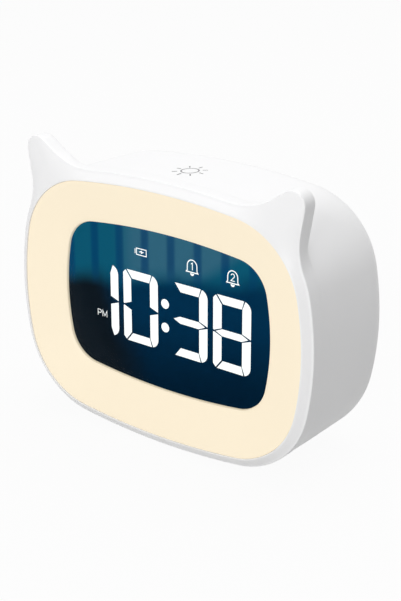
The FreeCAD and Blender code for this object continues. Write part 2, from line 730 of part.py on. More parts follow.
def grille_points():
    """Speaker holes: one in the middle and two rings of six and twelve."""
    points = [(SPEAKER_X, SPEAKER_Z)]
    for ring in (1, 2):
        for i in range(6 * ring):
            angle = math.tau * i / (6 * ring)
            points.append((SPEAKER_X + ring * GRILLE_PITCH * math.cos(angle),
                           SPEAKER_Z + ring * GRILLE_PITCH * math.sin(angle)))
    return points


SPEAKER_COLLAR = 1.2
SPEAKER_COLLAR_H = 3.0


def back_cover():
    """Flush rear panel with the key pocket, speaker holes, socket slot and board posts."""
    cover = slab(COVER_BORDER + COVER_GAP, COVER_INNER, REAR)
    pocket_len = 2 * max(KEY_CENTRES_X.values()) + KEY_LENGTH + 2 * KEY_POCKET_MARGIN
    pocket = oval(0, KEY_ROW_Z, pocket_len, KEY_WIDTH + 2 * KEY_POCKET_MARGIN,
                  REAR - KEY_POCKET_DEPTH, REAR + EPS)
    cuts = [pocket]
    grow = 2 * KEY_CLEARANCE
    for x in KEY_CENTRES_X.values():
        cuts.append(oval(x, KEY_ROW_Z, KEY_LENGTH + grow, KEY_WIDTH + grow, COVER_INNER - EPS, REAR + EPS))
    cuts += [rod(x, z, GRILLE_HOLE_R, COVER_INNER - EPS, REAR + EPS) for x, z in grille_points()]
    cuts.append(oval(USB_X, USB_Z, USB_WIDTH + 2 * USB_CLEARANCE, USB_HEIGHT + 2 * USB_CLEARANCE,
                     COVER_INNER - EPS, REAR + EPS))
    for x, z in COVER_SCREWS:
        cuts.append(rod(x, z, SCREW_R + FIT_GAP, COVER_INNER - EPS, REAR + EPS))
        cuts.append(rod(x, z, SCREW_HEAD_R + 2 * FIT_GAP, REAR - COVER_COUNTERBORE, REAR + EPS))
    collar_start = COVER_INNER - SPEAKER_COLLAR_H
    collar = rod(SPEAKER_X, SPEAKER_Z, SPEAKER_R + FIT_GAP + SPEAKER_COLLAR, collar_start, COVER_INNER)
    collar = collar.cut(rod(SPEAKER_X, SPEAKER_Z, SPEAKER_R + FIT_GAP, collar_start - EPS, COVER_INNER))
    posts = [rod(x, z, BOARD_POST_R, MAIN_BOARD_REAR, COVER_INNER) for x, z in BOARD_POSTS]
    bore = SCREW_R + BORE_GAP
    post_bores = [rod(x, z, bore, MAIN_BOARD_REAR - EPS, COVER_INNER - EPS) for x, z in BOARD_POSTS]
    return cover.cut(cuts).fuse([collar] + posts).cut(post_bores).removeSplitter()


def usb_socket():
    """Upright charging socket: an oval metal can with its contact tongue."""
    end = REAR - USB_SET_BACK
    can = oval(USB_X, USB_Z, USB_WIDTH, USB_HEIGHT, MAIN_BOARD_REAR, end)
    mouth_depth = 6.5
    mouth = oval(USB_X, USB_Z, USB_WIDTH - 2 * USB_SHELL, USB_HEIGHT - 2 * USB_SHELL,
                 end - mouth_depth, end + EPS)
    tongue = block(USB_X - 3.3, USB_X + 3.3, end - mouth_depth, end - 0.8, USB_Z - 0.35, USB_Z + 0.35)
    return can.cut(mouth).fuse(tongue)


def turned(profile, x, z):
    """Solid of revolution about an axis along Y; profile is a list of (radius, y) points."""
    points = [vec(x + r, y, FACE_Z + z) for r, y in profile]
    face = Part.Face(Part.makePolygon(points + points[:1]))
    return face.revolve(vec(x, 0, FACE_Z + z), vec(0, 1, 0), 360)


def speaker_frame():
    """Pressed basket with its round magnet, facing the grille."""
    front = COVER_INNER - GASKET_THICK
    back = front - SPEAKER_DEPTH
    r = SPEAKER_R
    profile = [(0, back), (r * 0.58, back), (r * 0.58, back + 4.0), (r * 0.62, back + 4.6),
               (r * 0.9, front - 1.6), (r, front - 1.4), (r, front), (r * 0.86, front),
               (r * 0.84, front - 1.0), (r * 0.5, back + 5.4), (0, back + 5.4)]
    return turned(profile, SPEAKER_X, SPEAKER_Z)


def speaker_cone():
    """Paper cone with its roll surround and dust cap, clear of the basket."""
    front = COVER_INNER - GASKET_THICK
    r = SPEAKER_R
    profile = [(0, front - 2.4), (r * 0.26, front - 2.9), (r * 0.3, front - 3.0),
               (r * 0.6, front - 1.3), (r * 0.74, front - 0.5), (r * 0.84, front - 0.6),
               (r * 0.84, front - 0.8), (r * 0.74, front - 0.7), (r * 0.6, front - 1.6),
               (r * 0.3, front - 3.3), (0, front - 3.3)]
    return turned(profile, SPEAKER_X, SPEAKER_Z)


def speaker_gasket():
    ring = rod(SPEAKER_X, SPEAKER_Z, SPEAKER_R, COVER_INNER - GASKET_THICK, COVER_INNER)
    return ring.cut(rod(SPEAKER_X, SPEAKER_Z, SPEAKER_R * 0.86, COVER_INNER - EPS, COVER_INNER + EPS))


def cell_body(grow, extra):
    length = CELL_LENGTH + 2 * extra
    return Part.makeCylinder(CELL_R + grow, length, vec(-length / 2, CELL_Y, FACE_Z + CELL_Z), vec(1, 0, 0))


def battery_cell():
    """Round rechargeable cell with its raised positive cap."""
    can = cell_body(0.0, 0.0)
    ends = [e for e in can.Edges if abs(e.BoundBox.XLength) < 1e-6]
    can = can.makeChamfer(CELL_EDGE, ends)
    cap_foot = vec(CELL_LENGTH / 2, CELL_Y, FACE_Z + CELL_Z)
    cap = Part.makeCylinder(CELL_CAP_R, CELL_CAP_H, cap_foot, vec(1, 0, 0))
    return can.fuse(cap)


def battery_cradle():
    """Trough with end walls that follows the housing's bottom and holds the lower half of the cell."""
    half_y = CELL_R + FIT_GAP + CRADLE_WALL
    half_x = CELL_LENGTH / 2 + CELL_END_GAP + CRADLE_WALL
    trough = block(-half_x, half_x, CELL_Y - half_y, CELL_Y + half_y, -FACE_HEIGHT / 2, CELL_Z)
    trough = trough.cut(cell_body(FIT_GAP, CELL_END_GAP))
    inside = slab(RIM_WIDTH + SEAT_GAP, FRONT + EAR_THICK, REAR - REAR_ROUND_R)
    return trough.common(inside)


TOUCH_CEILING = FACE_HEIGHT / 2 - RIM_WIDTH - 0.13


def touch_plate():
    top = FACE_Z + TOUCH_CEILING
    foot = vec(0, FRONT + TOUCH_Y, top - TOUCH_PLATE_THICK)
    return Part.makeCylinder(TOUCH_PLATE_R, TOUCH_PLATE_THICK, foot)


def lead(points, radius):
    """Wire of straight runs with mitred corners through the given points."""
    heading = (points[1] - points[0]).normalize()
    section = Part.Wire(Part.makeCircle(radius, points[0], heading))
    right_corners = 1
    return Part.makePolygon(points).makePipeShell([section], True, False, right_corners)


def touch_lead():
    """Insulated wire from the touch plate down to the top of the main board."""
    top = FACE_Z + TOUCH_CEILING - TOUCH_PLATE_THICK
    y = FRONT + TOUCH_Y
    points = [vec(0, y, top), vec(0, y, top - 9.0), vec(0, y + 7.0, FACE_Z + 26.5),
              vec(4.0, MAIN_BOARD_FRONT - 7.0, FACE_Z + 20.0), vec(4.0, MAIN_BOARD_FRONT, FACE_Z + 20.0)]
    return lead(points, LEAD_R)


def battery_leads():
    """The cell's two wires, from its minus end up to the leg of the main board."""
    tubes = []
    x = -CELL_LENGTH / 2 - LEAD_R - 0.1
    for step in (0.0, 3.0):
        y = CELL_Y - step
        z = FACE_Z + CELL_Z
        end_x = -30.0 + step
        end_z = z + 12.4 + step
        points = [vec(x, y, z + 2.0), vec(x, y, z + 13.5), vec(end_x, y + 4.0, end_z),
                  vec(end_x, MAIN_BOARD_FRONT, end_z)]
        tubes.append(lead(points, LEAD_R))
    return Part.makeCompound(tubes)


def speaker_leads():
    """Two wires from the back of the loudspeaker to the main board."""
    back = COVER_INNER - GASKET_THICK - SPEAKER_DEPTH
    tubes = []
    for step in (0.0, 2.4):
        x = SPEAKER_X - 3.0 + step
        z = FACE_Z + SPEAKER_Z + 3.0
        board_z = FACE_Z + 5.0
        points = [vec(x, back, z), vec(x, back - 6.5, z), vec(x, back - 6.5, board_z),
                  vec(x, MAIN_BOARD_FRONT, board_z)]
        tubes.append(lead(points, LEAD_R))
    return Part.makeCompound(tubes)


RIBBON_X = -25.0
RIBBON_Z = -1.0
RIBBON_WIDTH = 12.0
RIBBON_THICK = 0.4
RIBBON_BOW = 3.5


def ribbon_cable():
    """Flat flexible strip, bowed upwards between the two boards."""
    z = FACE_Z + RIBBON_Z
    y0, y1 = DISPLAY_BOARD_BACK, MAIN_BOARD_FRONT
    mid = (y0 + y1) / 2
    edge_x = RIBBON_X - RIBBON_WIDTH / 2
    arcs = []
    for rise in (0.0, RIBBON_THICK):
        start = vec(edge_x, y0, z + rise)
        crest = vec(edge_x, mid, z + rise + RIBBON_BOW)
        end = vec(edge_x, y1, z + rise)
        arcs.append(Part.Arc(start, crest, end).toShape())
    ends = [Part.makeLine(vec(edge_x, y, z), vec(edge_x, y, z + RIBBON_THICK)) for y in (y0, y1)]
    outline = Part.Wire(Part.__sortEdges__(arcs + ends))
    return Part.Face(outline).extrude(vec(RIBBON_WIDTH, 0, 0))


def rubber_feet():
    feet = []
    for x, y in FOOT_PLACES:
        foot = Part.makeCylinder(FOOT_R, FOOT_TOP, vec(x, FRONT + y, 0))
        rim = [e for e in foot.Edges if e.BoundBox.ZMax < 1e-4]
        feet.append(foot.makeChamfer(FOOT_EDGE, rim))
    return Part.makeCompound(feet)


def screw_set(places, head_y, length, direction, crossed=False):
    return Part.makeCompound([screw(x, z, head_y, length, direction, crossed) for x, z in places])


def build():
    nodes = {
        "main_shell": main_shell(),
        "back_cover": back_cover(),
        "light_ring": light_ring(),
        "display_lens": slab(LENS_INSET + FIT_GAP, LENS_FRONT, LENS_BACK),
        "lens_tape": lens_tape(),
        "display_mask": display_mask(),
        "display_reflector": display_reflector(),
        "digit_segments": Part.makeCompound(digit_plates(MASK_FRONT, MASK_FRONT + GUIDE_DEPTH)),
        "colon_dots": Part.makeCompound(colon_plates(MASK_FRONT, MASK_FRONT + GUIDE_DEPTH)),
        "sign_windows": Part.makeCompound(sign_plates(MASK_FRONT, MASK_FRONT + GUIDE_DEPTH)),
        "display_board": display_board(),
        "display_screws": screw_set(DISPLAY_SCREWS, DISPLAY_BOARD_BACK, DISPLAY_SCREW_LENGTH, -1),
        "light_tray": light_tray(),
        "light_board": light_board(),
        "light_leds": light_leds(),
        "tray_screws": screw_set(TRAY_SCREWS, LIGHT_BOARD_FRONT, TRAY_SCREW_LENGTH, 1),
        "main_board": main_board(),
        "board_parts": board_parts(),
        "board_screws": screw_set(BOARD_POSTS, MAIN_BOARD_FRONT, 6.0, 1),
        "switch_bases": switch_bases(),
        "usb_socket": usb_socket(),
        "speaker_frame": speaker_frame(),
        "speaker_cone": speaker_cone(),
        "speaker_gasket": speaker_gasket(),
        "speaker_leads": speaker_leads(),
        "battery_cell": battery_cell(),
        "battery_cradle": battery_cradle(),
        "battery_leads": battery_leads(),
        "touch_plate": touch_plate(),
        "touch_lead": touch_lead(),
        "ribbon_cable": ribbon_cable(),
        "cover_screws": screw_set(
            COVER_SCREWS, REAR - COVER_COUNTERBORE, COVER_SCREW_LENGTH - 2.0, -1, True
        ),
        "rubber_feet": rubber_feet(),
    }
    for name, x in KEY_CENTRES_X.items():
        nodes[name + "_key"] = key(x)
        nodes[name + "_switch_stem"] = switch_stem(x)
    return nodes


os.makedirs("parts", exist_ok=True)
for node, shape in build().items():
    shape.exportStep("parts/" + node + ".step")
    print(node, len(shape.Solids), round(shape.Volume, 2), shape.isValid())
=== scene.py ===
import math

import bmesh
import bpy
from mathutils import Matrix, Vector


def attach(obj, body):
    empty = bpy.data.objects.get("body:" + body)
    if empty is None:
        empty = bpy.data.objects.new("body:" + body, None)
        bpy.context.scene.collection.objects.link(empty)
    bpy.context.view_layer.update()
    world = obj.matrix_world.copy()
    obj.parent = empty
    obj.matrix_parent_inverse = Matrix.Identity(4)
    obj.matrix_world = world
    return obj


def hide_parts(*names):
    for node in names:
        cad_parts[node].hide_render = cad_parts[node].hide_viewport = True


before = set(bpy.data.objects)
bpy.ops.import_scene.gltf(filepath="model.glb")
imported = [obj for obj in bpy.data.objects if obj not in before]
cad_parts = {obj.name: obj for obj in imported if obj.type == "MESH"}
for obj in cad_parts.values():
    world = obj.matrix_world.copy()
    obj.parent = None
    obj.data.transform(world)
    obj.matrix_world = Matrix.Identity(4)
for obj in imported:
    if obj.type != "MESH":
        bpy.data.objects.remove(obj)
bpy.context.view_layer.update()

# Housing: one white moulding with the walls, both ears and the rounded back.
# It is satin injection-moulded plastic, open at the front for the light ring and at the back for
# the cover. Everything else is screwed or clipped into it.
MM = 0.001
FRONT = -26.5
DEPTH = 53.0
FACE_WIDTH = 129.0
FACE_HEIGHT = 95.8
FACE_MIDDLE_Z = 48.7
SIDE_R = 100.0
CROWN_R = 283.0
CORNER_R = 32.0
SIDE_CENTRE = Vector((FACE_WIDTH / 2 - SIDE_R, 0.0))
CROWN_CENTRE = Vector((0.0, FACE_HEIGHT / 2 - CROWN_R))
SIDE_STEPS = 11
CORNER_STEPS = 80
CROWN_STEPS = 28
SHARP_ANGLE = math.radians(35)
RIM = 3.5
RIM_FRONT = 0.1
RIM_SET_BACK = 2.2
RIM_EDGE_R = 0.45
BROKEN_EDGE = 0.3
RIM_BAND_END = 3.4
EAR_TIP = Vector((55.0, 49.95))
EAR_TIP_R = 4.7
EAR_OUTER_LEAN = math.radians(9.5)
EAR_INNER_SLOPE = math.radians(32.75)
EAR_OUTER_SWEEP = 22.9
EAR_INNER_SWEEP = 26.8
EAR_REAR = 8.3
EAR_REAR_R = 1.0
EAR_FULL_REACH = 6.0
EAR_STEPS = 60
DRAFT_START = 6.0
EAR_HOLLOW = 9.0
EAR_HOLLOW_FULLNESS = 0.7
SHOULDER_RISE = 4.5
SHOULDER_SHARE = 0.5
BODY_DRAFT = 1.2
REAR_ROUND = 15.0
WALL = 3.8
COVER_BORDER = 17.2
COVER_THICK = 2.4
COVER_LAND = 2.0


def smooth_step(value):
    """0 below 0, 1 above 1, and a smooth rise between."""
    value = min(max(value, 0.0), 1.0)
    return value * value * (3 - 2 * value)


def tangent_centre():
    """Middle of the corner arc, which touches the side arc and the crown arc from inside."""
    to_side, to_crown = SIDE_R - CORNER_R, CROWN_R - CORNER_R
    line = CROWN_CENTRE - SIDE_CENTRE
    run = (line.length_squared + to_side ** 2 - to_crown ** 2) / (2 * line.length)
    rise = math.sqrt(to_side ** 2 - run ** 2)
    line.normalize()
    return SIDE_CENTRE + line * run + Vector((-line.y, line.x)) * rise


CORNER_CENTRE = tangent_centre()
SIDE_ANGLE = math.atan2(*(CORNER_CENTRE - SIDE_CENTRE).yx)
CROWN_ANGLE = math.atan2(*(CORNER_CENTRE - CROWN_CENTRE).yx)


def heading(angle):
    """Unit vector at this angle, anticlockwise from the right."""
    return Vector((math.cos(angle), math.sin(angle)))


def mirrored(pair, across, up):
    """A point and its normal, each flipped by the signs across and up."""
    return tuple(Vector((v.x * across, v.y * up)) for v in pair)


def face_outline():
    """Points and outward normals round the face, from its right side anticlockwise."""
    quarter = []
    for centre, radius, start, end, steps in (
            (SIDE_CENTRE, SIDE_R, 0.0, SIDE_ANGLE, SIDE_STEPS),
            (CORNER_CENTRE, CORNER_R, SIDE_ANGLE, CROWN_ANGLE, CORNER_STEPS),
            (CROWN_CENTRE, CROWN_R, CROWN_ANGLE, math.pi / 2, CROWN_STEPS)):
        for i in range(steps):
            normal = heading(start + (end - start) * i / steps)
            quarter.append((centre + normal * radius, normal))
    top = Vector((0.0, 1.0))
    quarter.append((CROWN_CENTRE + top * CROWN_R, top))
    half = quarter + [mirrored(pair, -1, 1) for pair in reversed(quarter[:-1])]
    return half + [mirrored(pair, 1, -1) for pair in reversed(half[1:-1])]


def sweep_middle(normal, down, sweep, base, base_r):
    """Middle of the hollow arc that leads from a straight ear flank into the face's outline."""
    start = EAR_TIP + normal * (EAR_TIP_R + sweep)
    half = (start - base).dot(down)
    rest = (start - base).length_squared - (base_r + sweep) ** 2
    root = math.sqrt(half ** 2 - rest)
    run = -half - root
    return start + down * (run if run > 0 else -half + root)


def ear_edge():
    """The right ear's outer edge as a fine run of points, from the side up to the tip and down."""
    outer_n = heading(-EAR_OUTER_LEAN)
    inner_n = heading(math.pi / 2 + EAR_INNER_SLOPE)
    outer = sweep_middle(outer_n, Vector((outer_n.y, -outer_n.x)), EAR_OUTER_SWEEP,
                         CORNER_CENTRE, CORNER_R)
    inner = sweep_middle(inner_n, Vector((-inner_n.y, inner_n.x)), EAR_INNER_SWEEP,
                         CROWN_CENTRE, CROWN_R)
    points = []
    for centre, radius, first, last in (
            (outer, EAR_OUTER_SWEEP, CORNER_CENTRE - outer, -outer_n),
            (EAR_TIP, EAR_TIP_R, outer_n, inner_n),
            (inner, EAR_INNER_SWEEP, -inner_n, CROWN_CENTRE - inner)):
        start = math.atan2(first.y, first.x)
        turn = (math.atan2(last.y, last.x) - start + math.pi) % math.tau - math.pi
        points += [centre + heading(start + turn * i / EAR_STEPS) * radius for i in range(EAR_STEPS + 1)]
    return points


def ear_reach(point, normal, edge):
    """How far the ear stands out from the face's outline along its normal."""
    if normal.y <= 0:
        return 0.0
    if point.x < 0:
        point, normal = Vector((-point.x, point.y)), Vector((-normal.x, normal.y))
    reach = 0.0
    for a, b in zip(edge, edge[1:]):
        step, gap = b - a, a - point
        cross = normal.x * step.y - normal.y * step.x
        if abs(cross) < 1e-9:
            continue
        along = (gap.x * step.y - gap.y * step.x) / cross
        share = (gap.x * normal.y - gap.y * normal.x) / cross
        if 0 <= share <= 1:
            reach = max(reach, along)
    return reach


def curve_steps(start, end, count, bend=None, power=2.0):
    """Points after start up to end, straight or on a quarter curve about the corner bend."""
    steps = []
    for i in range(1, count + 1):
        t = i / count
        if bend is None:
            steps.append((start[0] + (end[0] - start[0]) * t, start[1] + (end[1] - start[1]) * t))
            continue
        a = max(math.cos(t * math.pi / 2), 0.0) ** (2 / power)
        b = max(math.sin(t * math.pi / 2), 0.0) ** (2 / power)
        centre = (start[0] + end[0] - bend[0], start[1] + end[1] - bend[1])
        steps.append((centre[0] + (start[0] - centre[0]) * a + (end[0] - centre[0]) * b,
                      centre[1] + (start[1] - centre[1]) * a + (end[1] - centre[1]) * b))
    return steps


def housing_profile(reach):
    """Closed section of the wall as (outward, depth) pairs, with an ear that stands out by reach."""
    ear = smooth_step(reach / EAR_FULL_REACH)
    edge = reach - RIM_EDGE_R
    section = [(-RIM, BROKEN_EDGE)]
    section += curve_steps(section[-1], (-RIM + BROKEN_EDGE, RIM_FRONT), 3, (-RIM, 0.0))
    section += curve_steps(section[-1], (edge, RIM_SET_BACK), 6)
    section += curve_steps((edge, RIM_SET_BACK), (reach, RIM_SET_BACK + RIM_EDGE_R), 4,
                           (reach, RIM_SET_BACK))
    band_end = RIM_BAND_END + (EAR_REAR - EAR_REAR_R - RIM_BAND_END) * ear
    section += curve_steps(section[-1], (reach, band_end), 3)
    turn_y = SHOULDER_RISE + (EAR_REAR_R - SHOULDER_RISE) * ear
    hollow_y = band_end + turn_y + EAR_HOLLOW
    side = -BODY_DRAFT * (hollow_y - DRAFT_START) / (DEPTH - DRAFT_START)
    turn_s = SHOULDER_SHARE * (reach - side) * (1 - ear) + EAR_REAR_R * ear
    shoulder = (reach - turn_s, band_end + turn_y)
    section += curve_steps(section[-1], shoulder, 6, (reach, band_end + turn_y))
    section += curve_steps(shoulder, (side, hollow_y), 12, (side, shoulder[1]),
                           2.0 + EAR_HOLLOW_FULLNESS * ear)
    rear = -BODY_DRAFT * (DEPTH - REAR_ROUND - DRAFT_START) / (DEPTH - DRAFT_START)
    section += curve_steps(section[-1], (rear, DEPTH - REAR_ROUND), 6)
    section += curve_steps(section[-1], (rear - REAR_ROUND, DEPTH), 18, (rear, DEPTH))
    section += curve_steps(section[-1], (-COVER_BORDER + BROKEN_EDGE, DEPTH), 2)
    section += curve_steps(section[-1], (-COVER_BORDER, DEPTH - BROKEN_EDGE), 3, (-COVER_BORDER, DEPTH))
    section += [(-COVER_BORDER, DEPTH - COVER_THICK), (-COVER_BORDER - COVER_LAND, DEPTH - COVER_THICK),
                (-COVER_BORDER - COVER_LAND, DEPTH - WALL)]
    inner_r = REAR_ROUND - WALL
    section += curve_steps(section[-1], (-RIM - inner_r, DEPTH - WALL), 2)
    section += curve_steps(section[-1], (-RIM, DEPTH - WALL - inner_r), 8, (-RIM, DEPTH - WALL))
    section += curve_steps(section[-1], (-RIM, BROKEN_EDGE), 5)[:-1]
    return section


def linked(name, data):
    """New object with this mesh, lamp or camera in it, linked into the scene at the origin."""
    thing = bpy.data.objects.new(name, data)
    bpy.context.scene.collection.objects.link(thing)
    return thing


def outline_mesh(name, section_at, flats=False):
    """Closed solid of one section at each place round the face's outline.

    Each section closes on itself, or with flats it starts and ends on the two flats of a plate.
    """
    verts = []
    for point, normal in face_outline():
        section = section_at(point, normal)
        verts += [Vector((point.x + normal.x * s, FRONT + y, FACE_MIDDLE_Z + point.y + normal.y * s)) * MM
                  for s, y in section]
    width = len(section)
    count = len(verts) // width
    faces = []
    for i in range(count):
        j = (i + 1) % count
        for k in range(width - 1 if flats else width):
            m = (k + 1) % width
            faces.append((i * width + k, i * width + m, j * width + m, j * width + k))
    smooth = [True] * len(faces)
    if flats:
        faces.append([i * width for i in range(count)])
        faces.append([i * width + width - 1 for i in reversed(range(count))])
        smooth += [False, False]
    mesh = bpy.data.meshes.new(name)
    mesh.from_pydata(verts, [], faces)
    mesh.polygons.foreach_set("use_smooth", smooth)
    mesh.set_sharp_from_angle(angle=SHARP_ANGLE)
    return linked(name, mesh)


def node_group(name, inputs, outputs):
    """Empty shader node group with its named sockets, plus its two end nodes."""
    group = bpy.data.node_groups.new(name, "ShaderNodeTree")
    for label, kind, value in inputs:
        socket = group.interface.new_socket(name=label, in_out="INPUT", socket_type=kind)
        socket.default_value = value
    for label, kind in outputs:
        group.interface.new_socket(name=label, in_out="OUTPUT", socket_type=kind)
    return group, group.nodes.new("NodeGroupInput"), group.nodes.new("NodeGroupOutput")


def add_node(tree, kind, settings=(), values=(), links=()):
    """New node with its settings, its unlinked values and the sockets that feed it."""
    node = tree.nodes.new(kind)
    for key, value in dict(settings).items():
        setattr(node, key, value)
    for key, value in dict(values).items():
        node.inputs[key].default_value = value
    for key, source in dict(links).items():
        tree.links.new(source, node.inputs[key])
    return node


def feed(tree, node, index, operand):
    """Puts a plain value on an input, or links the socket that feeds it."""
    if isinstance(operand, (int, float, tuple)):
        node.inputs[index].default_value = operand
    else:
        tree.links.new(operand, node.inputs[index])


def math_node(tree, operation, *operands, clamp=False):
    """Result of a Math node whose operands are sockets or plain numbers."""
    node = add_node(tree, "ShaderNodeMath", {"operation": operation, "use_clamp": clamp})
    for index, operand in enumerate(operands):
        feed(tree, node, index, operand)
    return node.outputs[0]


def colour_mix(tree, share, first, second):
    """Result of a colour Mix node, whose colours are sockets or plain colours."""
    node = add_node(tree, "ShaderNodeMix", {"data_type": "RGBA"}, links={0: share})
    feed(tree, node, 6, first)
    feed(tree, node, 7, second)
    return node.outputs[2]


def end_group(group, given, out, colour, uneven, relief):
    """Feeds a group's outputs: its colour, its roughness spread by an uneven share, its relief."""
    rough = math_node(group, "MULTIPLY_ADD", uneven, given.outputs["Roughness spread"],
                      given.outputs["Roughness"])
    for label, source in (("Colour", colour), ("Roughness", rough), ("Height", relief)):
        group.links.new(source, out.inputs[label])
    return group


COLOUR, NUMBER = "NodeSocketColor", "NodeSocketFloat"
BUMP_HEIGHT = 0.00002
SKIN_OUTPUTS = (("Colour", COLOUR), ("Roughness", NUMBER), ("Height", NUMBER))


def moulded_skin():
    """Moulded plastic: faint cloudy tone, uneven gloss and the mould's fine spark texture."""
    group, given, out = node_group(
        "moulded_skin",
        (("Colour", COLOUR, (0.8, 0.8, 0.8, 1)), ("Shade", COLOUR, (0.7, 0.7, 0.7, 1)),
         ("Cloud scale", NUMBER, 40.0), ("Grain scale", NUMBER, 2500.0),
         ("Roughness", NUMBER, 0.4), ("Roughness spread", NUMBER, 0.06)), SKIN_OUTPUTS)
    place = add_node(group, "ShaderNodeTexCoord")
    cloud = add_node(group, "ShaderNodeTexNoise", values={"Detail": 3.0},
                     links={"Vector": place.outputs["Object"], "Scale": given.outputs["Cloud scale"]})
    grain = add_node(group, "ShaderNodeTexNoise", values={"Detail": 2.0},
                     links={"Vector": place.outputs["Object"], "Scale": given.outputs["Grain scale"]})
    tone = colour_mix(group, cloud.outputs["Fac"], given.outputs["Colour"], given.outputs["Shade"])
    return end_group(group, given, out, tone, cloud.outputs["Fac"], grain.outputs["Fac"])


def new_material(name, fixed=()):
    """Material with its node tree and its Principled BSDF, on which the fixed values are set."""
    material = bpy.data.materials.new(name)
    material.use_nodes = True
    shader = material.node_tree.nodes["Principled BSDF"]
    for key, value in dict(fixed).items():
        shader.inputs[key].default_value = value
    return material, material.node_tree, shader


def surface(name, group, values, fixed=(), bump=0.1):
    """Material that takes its colour, roughness and relief from a group."""
    material, tree, shader = new_material(name, fixed)
    skin = add_node(tree, "ShaderNodeGroup", {"node_tree": group}, values)
    relief = add_node(tree, "ShaderNodeBump", values={"Strength": bump, "Distance": BUMP_HEIGHT},
                      links={"Height": skin.outputs["Height"]})
    tree.links.new(skin.outputs["Colour"], shader.inputs["Base Color"])
    tree.links.new(skin.outputs["Roughness"], shader.inputs["Roughness"])
    tree.links.new(relief.outputs["Normal"], shader.inputs["Normal"])
    return material


def dress(piece, material, body=None, stands_for=()):
    """Gives a piece its finish, and a new piece its body, and hides the CAD nodes it stands for."""
    piece.data.materials.clear()
    piece.data.materials.append(material)
    if body:
        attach(piece, body)
    if stands_for:
        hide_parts(*stands_for)
    return piece


skin_group = moulded_skin()
shell_white = surface("shell_white", skin_group, {
    "Colour": (0.86, 0.86, 0.865, 1), "Shade": (0.84, 0.84, 0.845, 1), "Cloud scale": 30.0,
    "Grain scale": 2600.0, "Roughness": 0.38, "Roughness spread": 0.08}, {"IOR": 1.46}, bump=0.12)
right_ear = ear_edge()
housing = outline_mesh("housing", lambda p, n: housing_profile(ear_reach(p, n, right_ear)))
dress(housing, shell_white, "clock", ["main_shell"])

# Light ring: the night light's opal diffuser, a shallow cream dish round the display.
# It is moulded from translucent plastic, with a skirt outside and a ledge inside for the window,
# and glows evenly because twenty warm lamps shine on its back.
RING_GAP = 0.15
RING_SET_BACK = 0.4
RING_WALL = 2.0
DISH_DEPTH = 5.2
RING_LIP = 0.1
WINDOW_INSET = RIM + 15.6
WINDOW_THICK = 0.8
WINDOW_LEDGE = 1.5
FILM_FRONT = DISH_DEPTH + WINDOW_THICK
LEDGE_FRONT = FILM_FRONT + 0.3
LEDGE_BACK = LEDGE_FRONT + 1.8
RING_EDGE = 0.2


def ring_profile():
    """Closed section of the diffuser as (outward, depth) pairs."""
    outer, inner = -RIM - RING_GAP, -WINDOW_INSET
    lip = DISH_DEPTH - RING_LIP
    section = [(inner, lip + RING_EDGE)]
    section += curve_steps(section[-1], (inner + RING_EDGE, lip - RING_EDGE / 2), 3, (inner, lip))
    section += curve_steps(section[-1], (outer - RING_EDGE, RING_SET_BACK + RING_EDGE / 3), 8)
    section += curve_steps(section[-1], (outer, RING_SET_BACK + RING_EDGE), 3, (outer, RING_SET_BACK))
    for corner in ((outer, LEDGE_BACK), (outer - RING_WALL, LEDGE_BACK),
                   (outer - RING_WALL, RING_SET_BACK + RING_WALL), (inner + RING_WALL, lip + RING_WALL),
                   (inner + RING_WALL, LEDGE_BACK), (inner - WINDOW_LEDGE, LEDGE_BACK),
                   (inner - WINDOW_LEDGE, LEDGE_FRONT), (inner, LEDGE_FRONT)):
        section += curve_steps(section[-1], corner, 2)
    return section + curve_steps(section[-1], section[0], 2)[:-1]


ring_diffuser = surface("ring_diffuser", skin_group, {
    "Colour": (0.545, 0.485, 0.372, 1), "Shade": (0.53, 0.47, 0.36, 1), "Cloud scale": 18.0,
    "Grain scale": 3000.0, "Roughness": 0.5, "Roughness spread": 0.06},
    {"IOR": 1.45, "Emission Color": (1.0, 0.875, 0.667, 1), "Emission Strength": 0.43}, bump=0.06)
ring_section = ring_profile()
ring_dish = outline_mesh("ring_dish", lambda p, n: ring_section)
dress(ring_dish, ring_diffuser, "clock", ["light_ring"])

# Window: a clear flat acrylic lens with a softened front edge and an anti-glare coat, let into the
# ring's ledge. A thin ring of black double-sided tape holds it.
WINDOW_EDGE = 0.2
WINDOW_AIR = 0.05
COATING_LOSS = 0.05
window_side = -WINDOW_INSET - RING_GAP
window_section = [(window_side - WINDOW_EDGE, DISH_DEPTH)]
window_section += curve_steps(window_section[-1], (window_side, DISH_DEPTH + WINDOW_EDGE), 4,
                              (window_side, DISH_DEPTH))
window_section += [(window_side, FILM_FRONT - WINDOW_AIR)]
window = outline_mesh("display_window", lambda p, n: window_section, flats=True)
lens_clear, tree, polish = new_material("lens_clear", {"Base Color": (1, 1, 1, 1), "Metallic": 1.0})
smear = add_node(tree, "ShaderNodeGroup", {"node_tree": skin_group},
                 {"Cloud scale": 60.0, "Roughness": 0.02, "Roughness spread": 0.03})
tree.links.new(smear.outputs["Roughness"], polish.inputs["Roughness"])
clear = add_node(tree, "ShaderNodeBsdfTransparent", values={"Color": (0.97, 0.985, 0.98, 1)})
facing = add_node(tree, "ShaderNodeFresnel", values={"IOR": 1.45})
side = add_node(tree, "ShaderNodeNewGeometry")
outside = math_node(tree, "SUBTRACT", 1.0, side.outputs["Backfacing"])
coated = math_node(tree, "SUBTRACT", facing.outputs[0], COATING_LOSS, clamp=True)
lens_mix = add_node(tree, "ShaderNodeMixShader", links={
    0: math_node(tree, "MULTIPLY", coated, outside), 1: clear.outputs[0], 2: polish.outputs[0]})
tree.links.new(lens_mix.outputs[0], tree.nodes["Material Output"].inputs["Surface"])
dress(window, lens_clear, "clock", ["display_lens"])


def carry(node, material):
    """Gives a CAD node that keeps its own shape this finish."""
    dress(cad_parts[node], material)


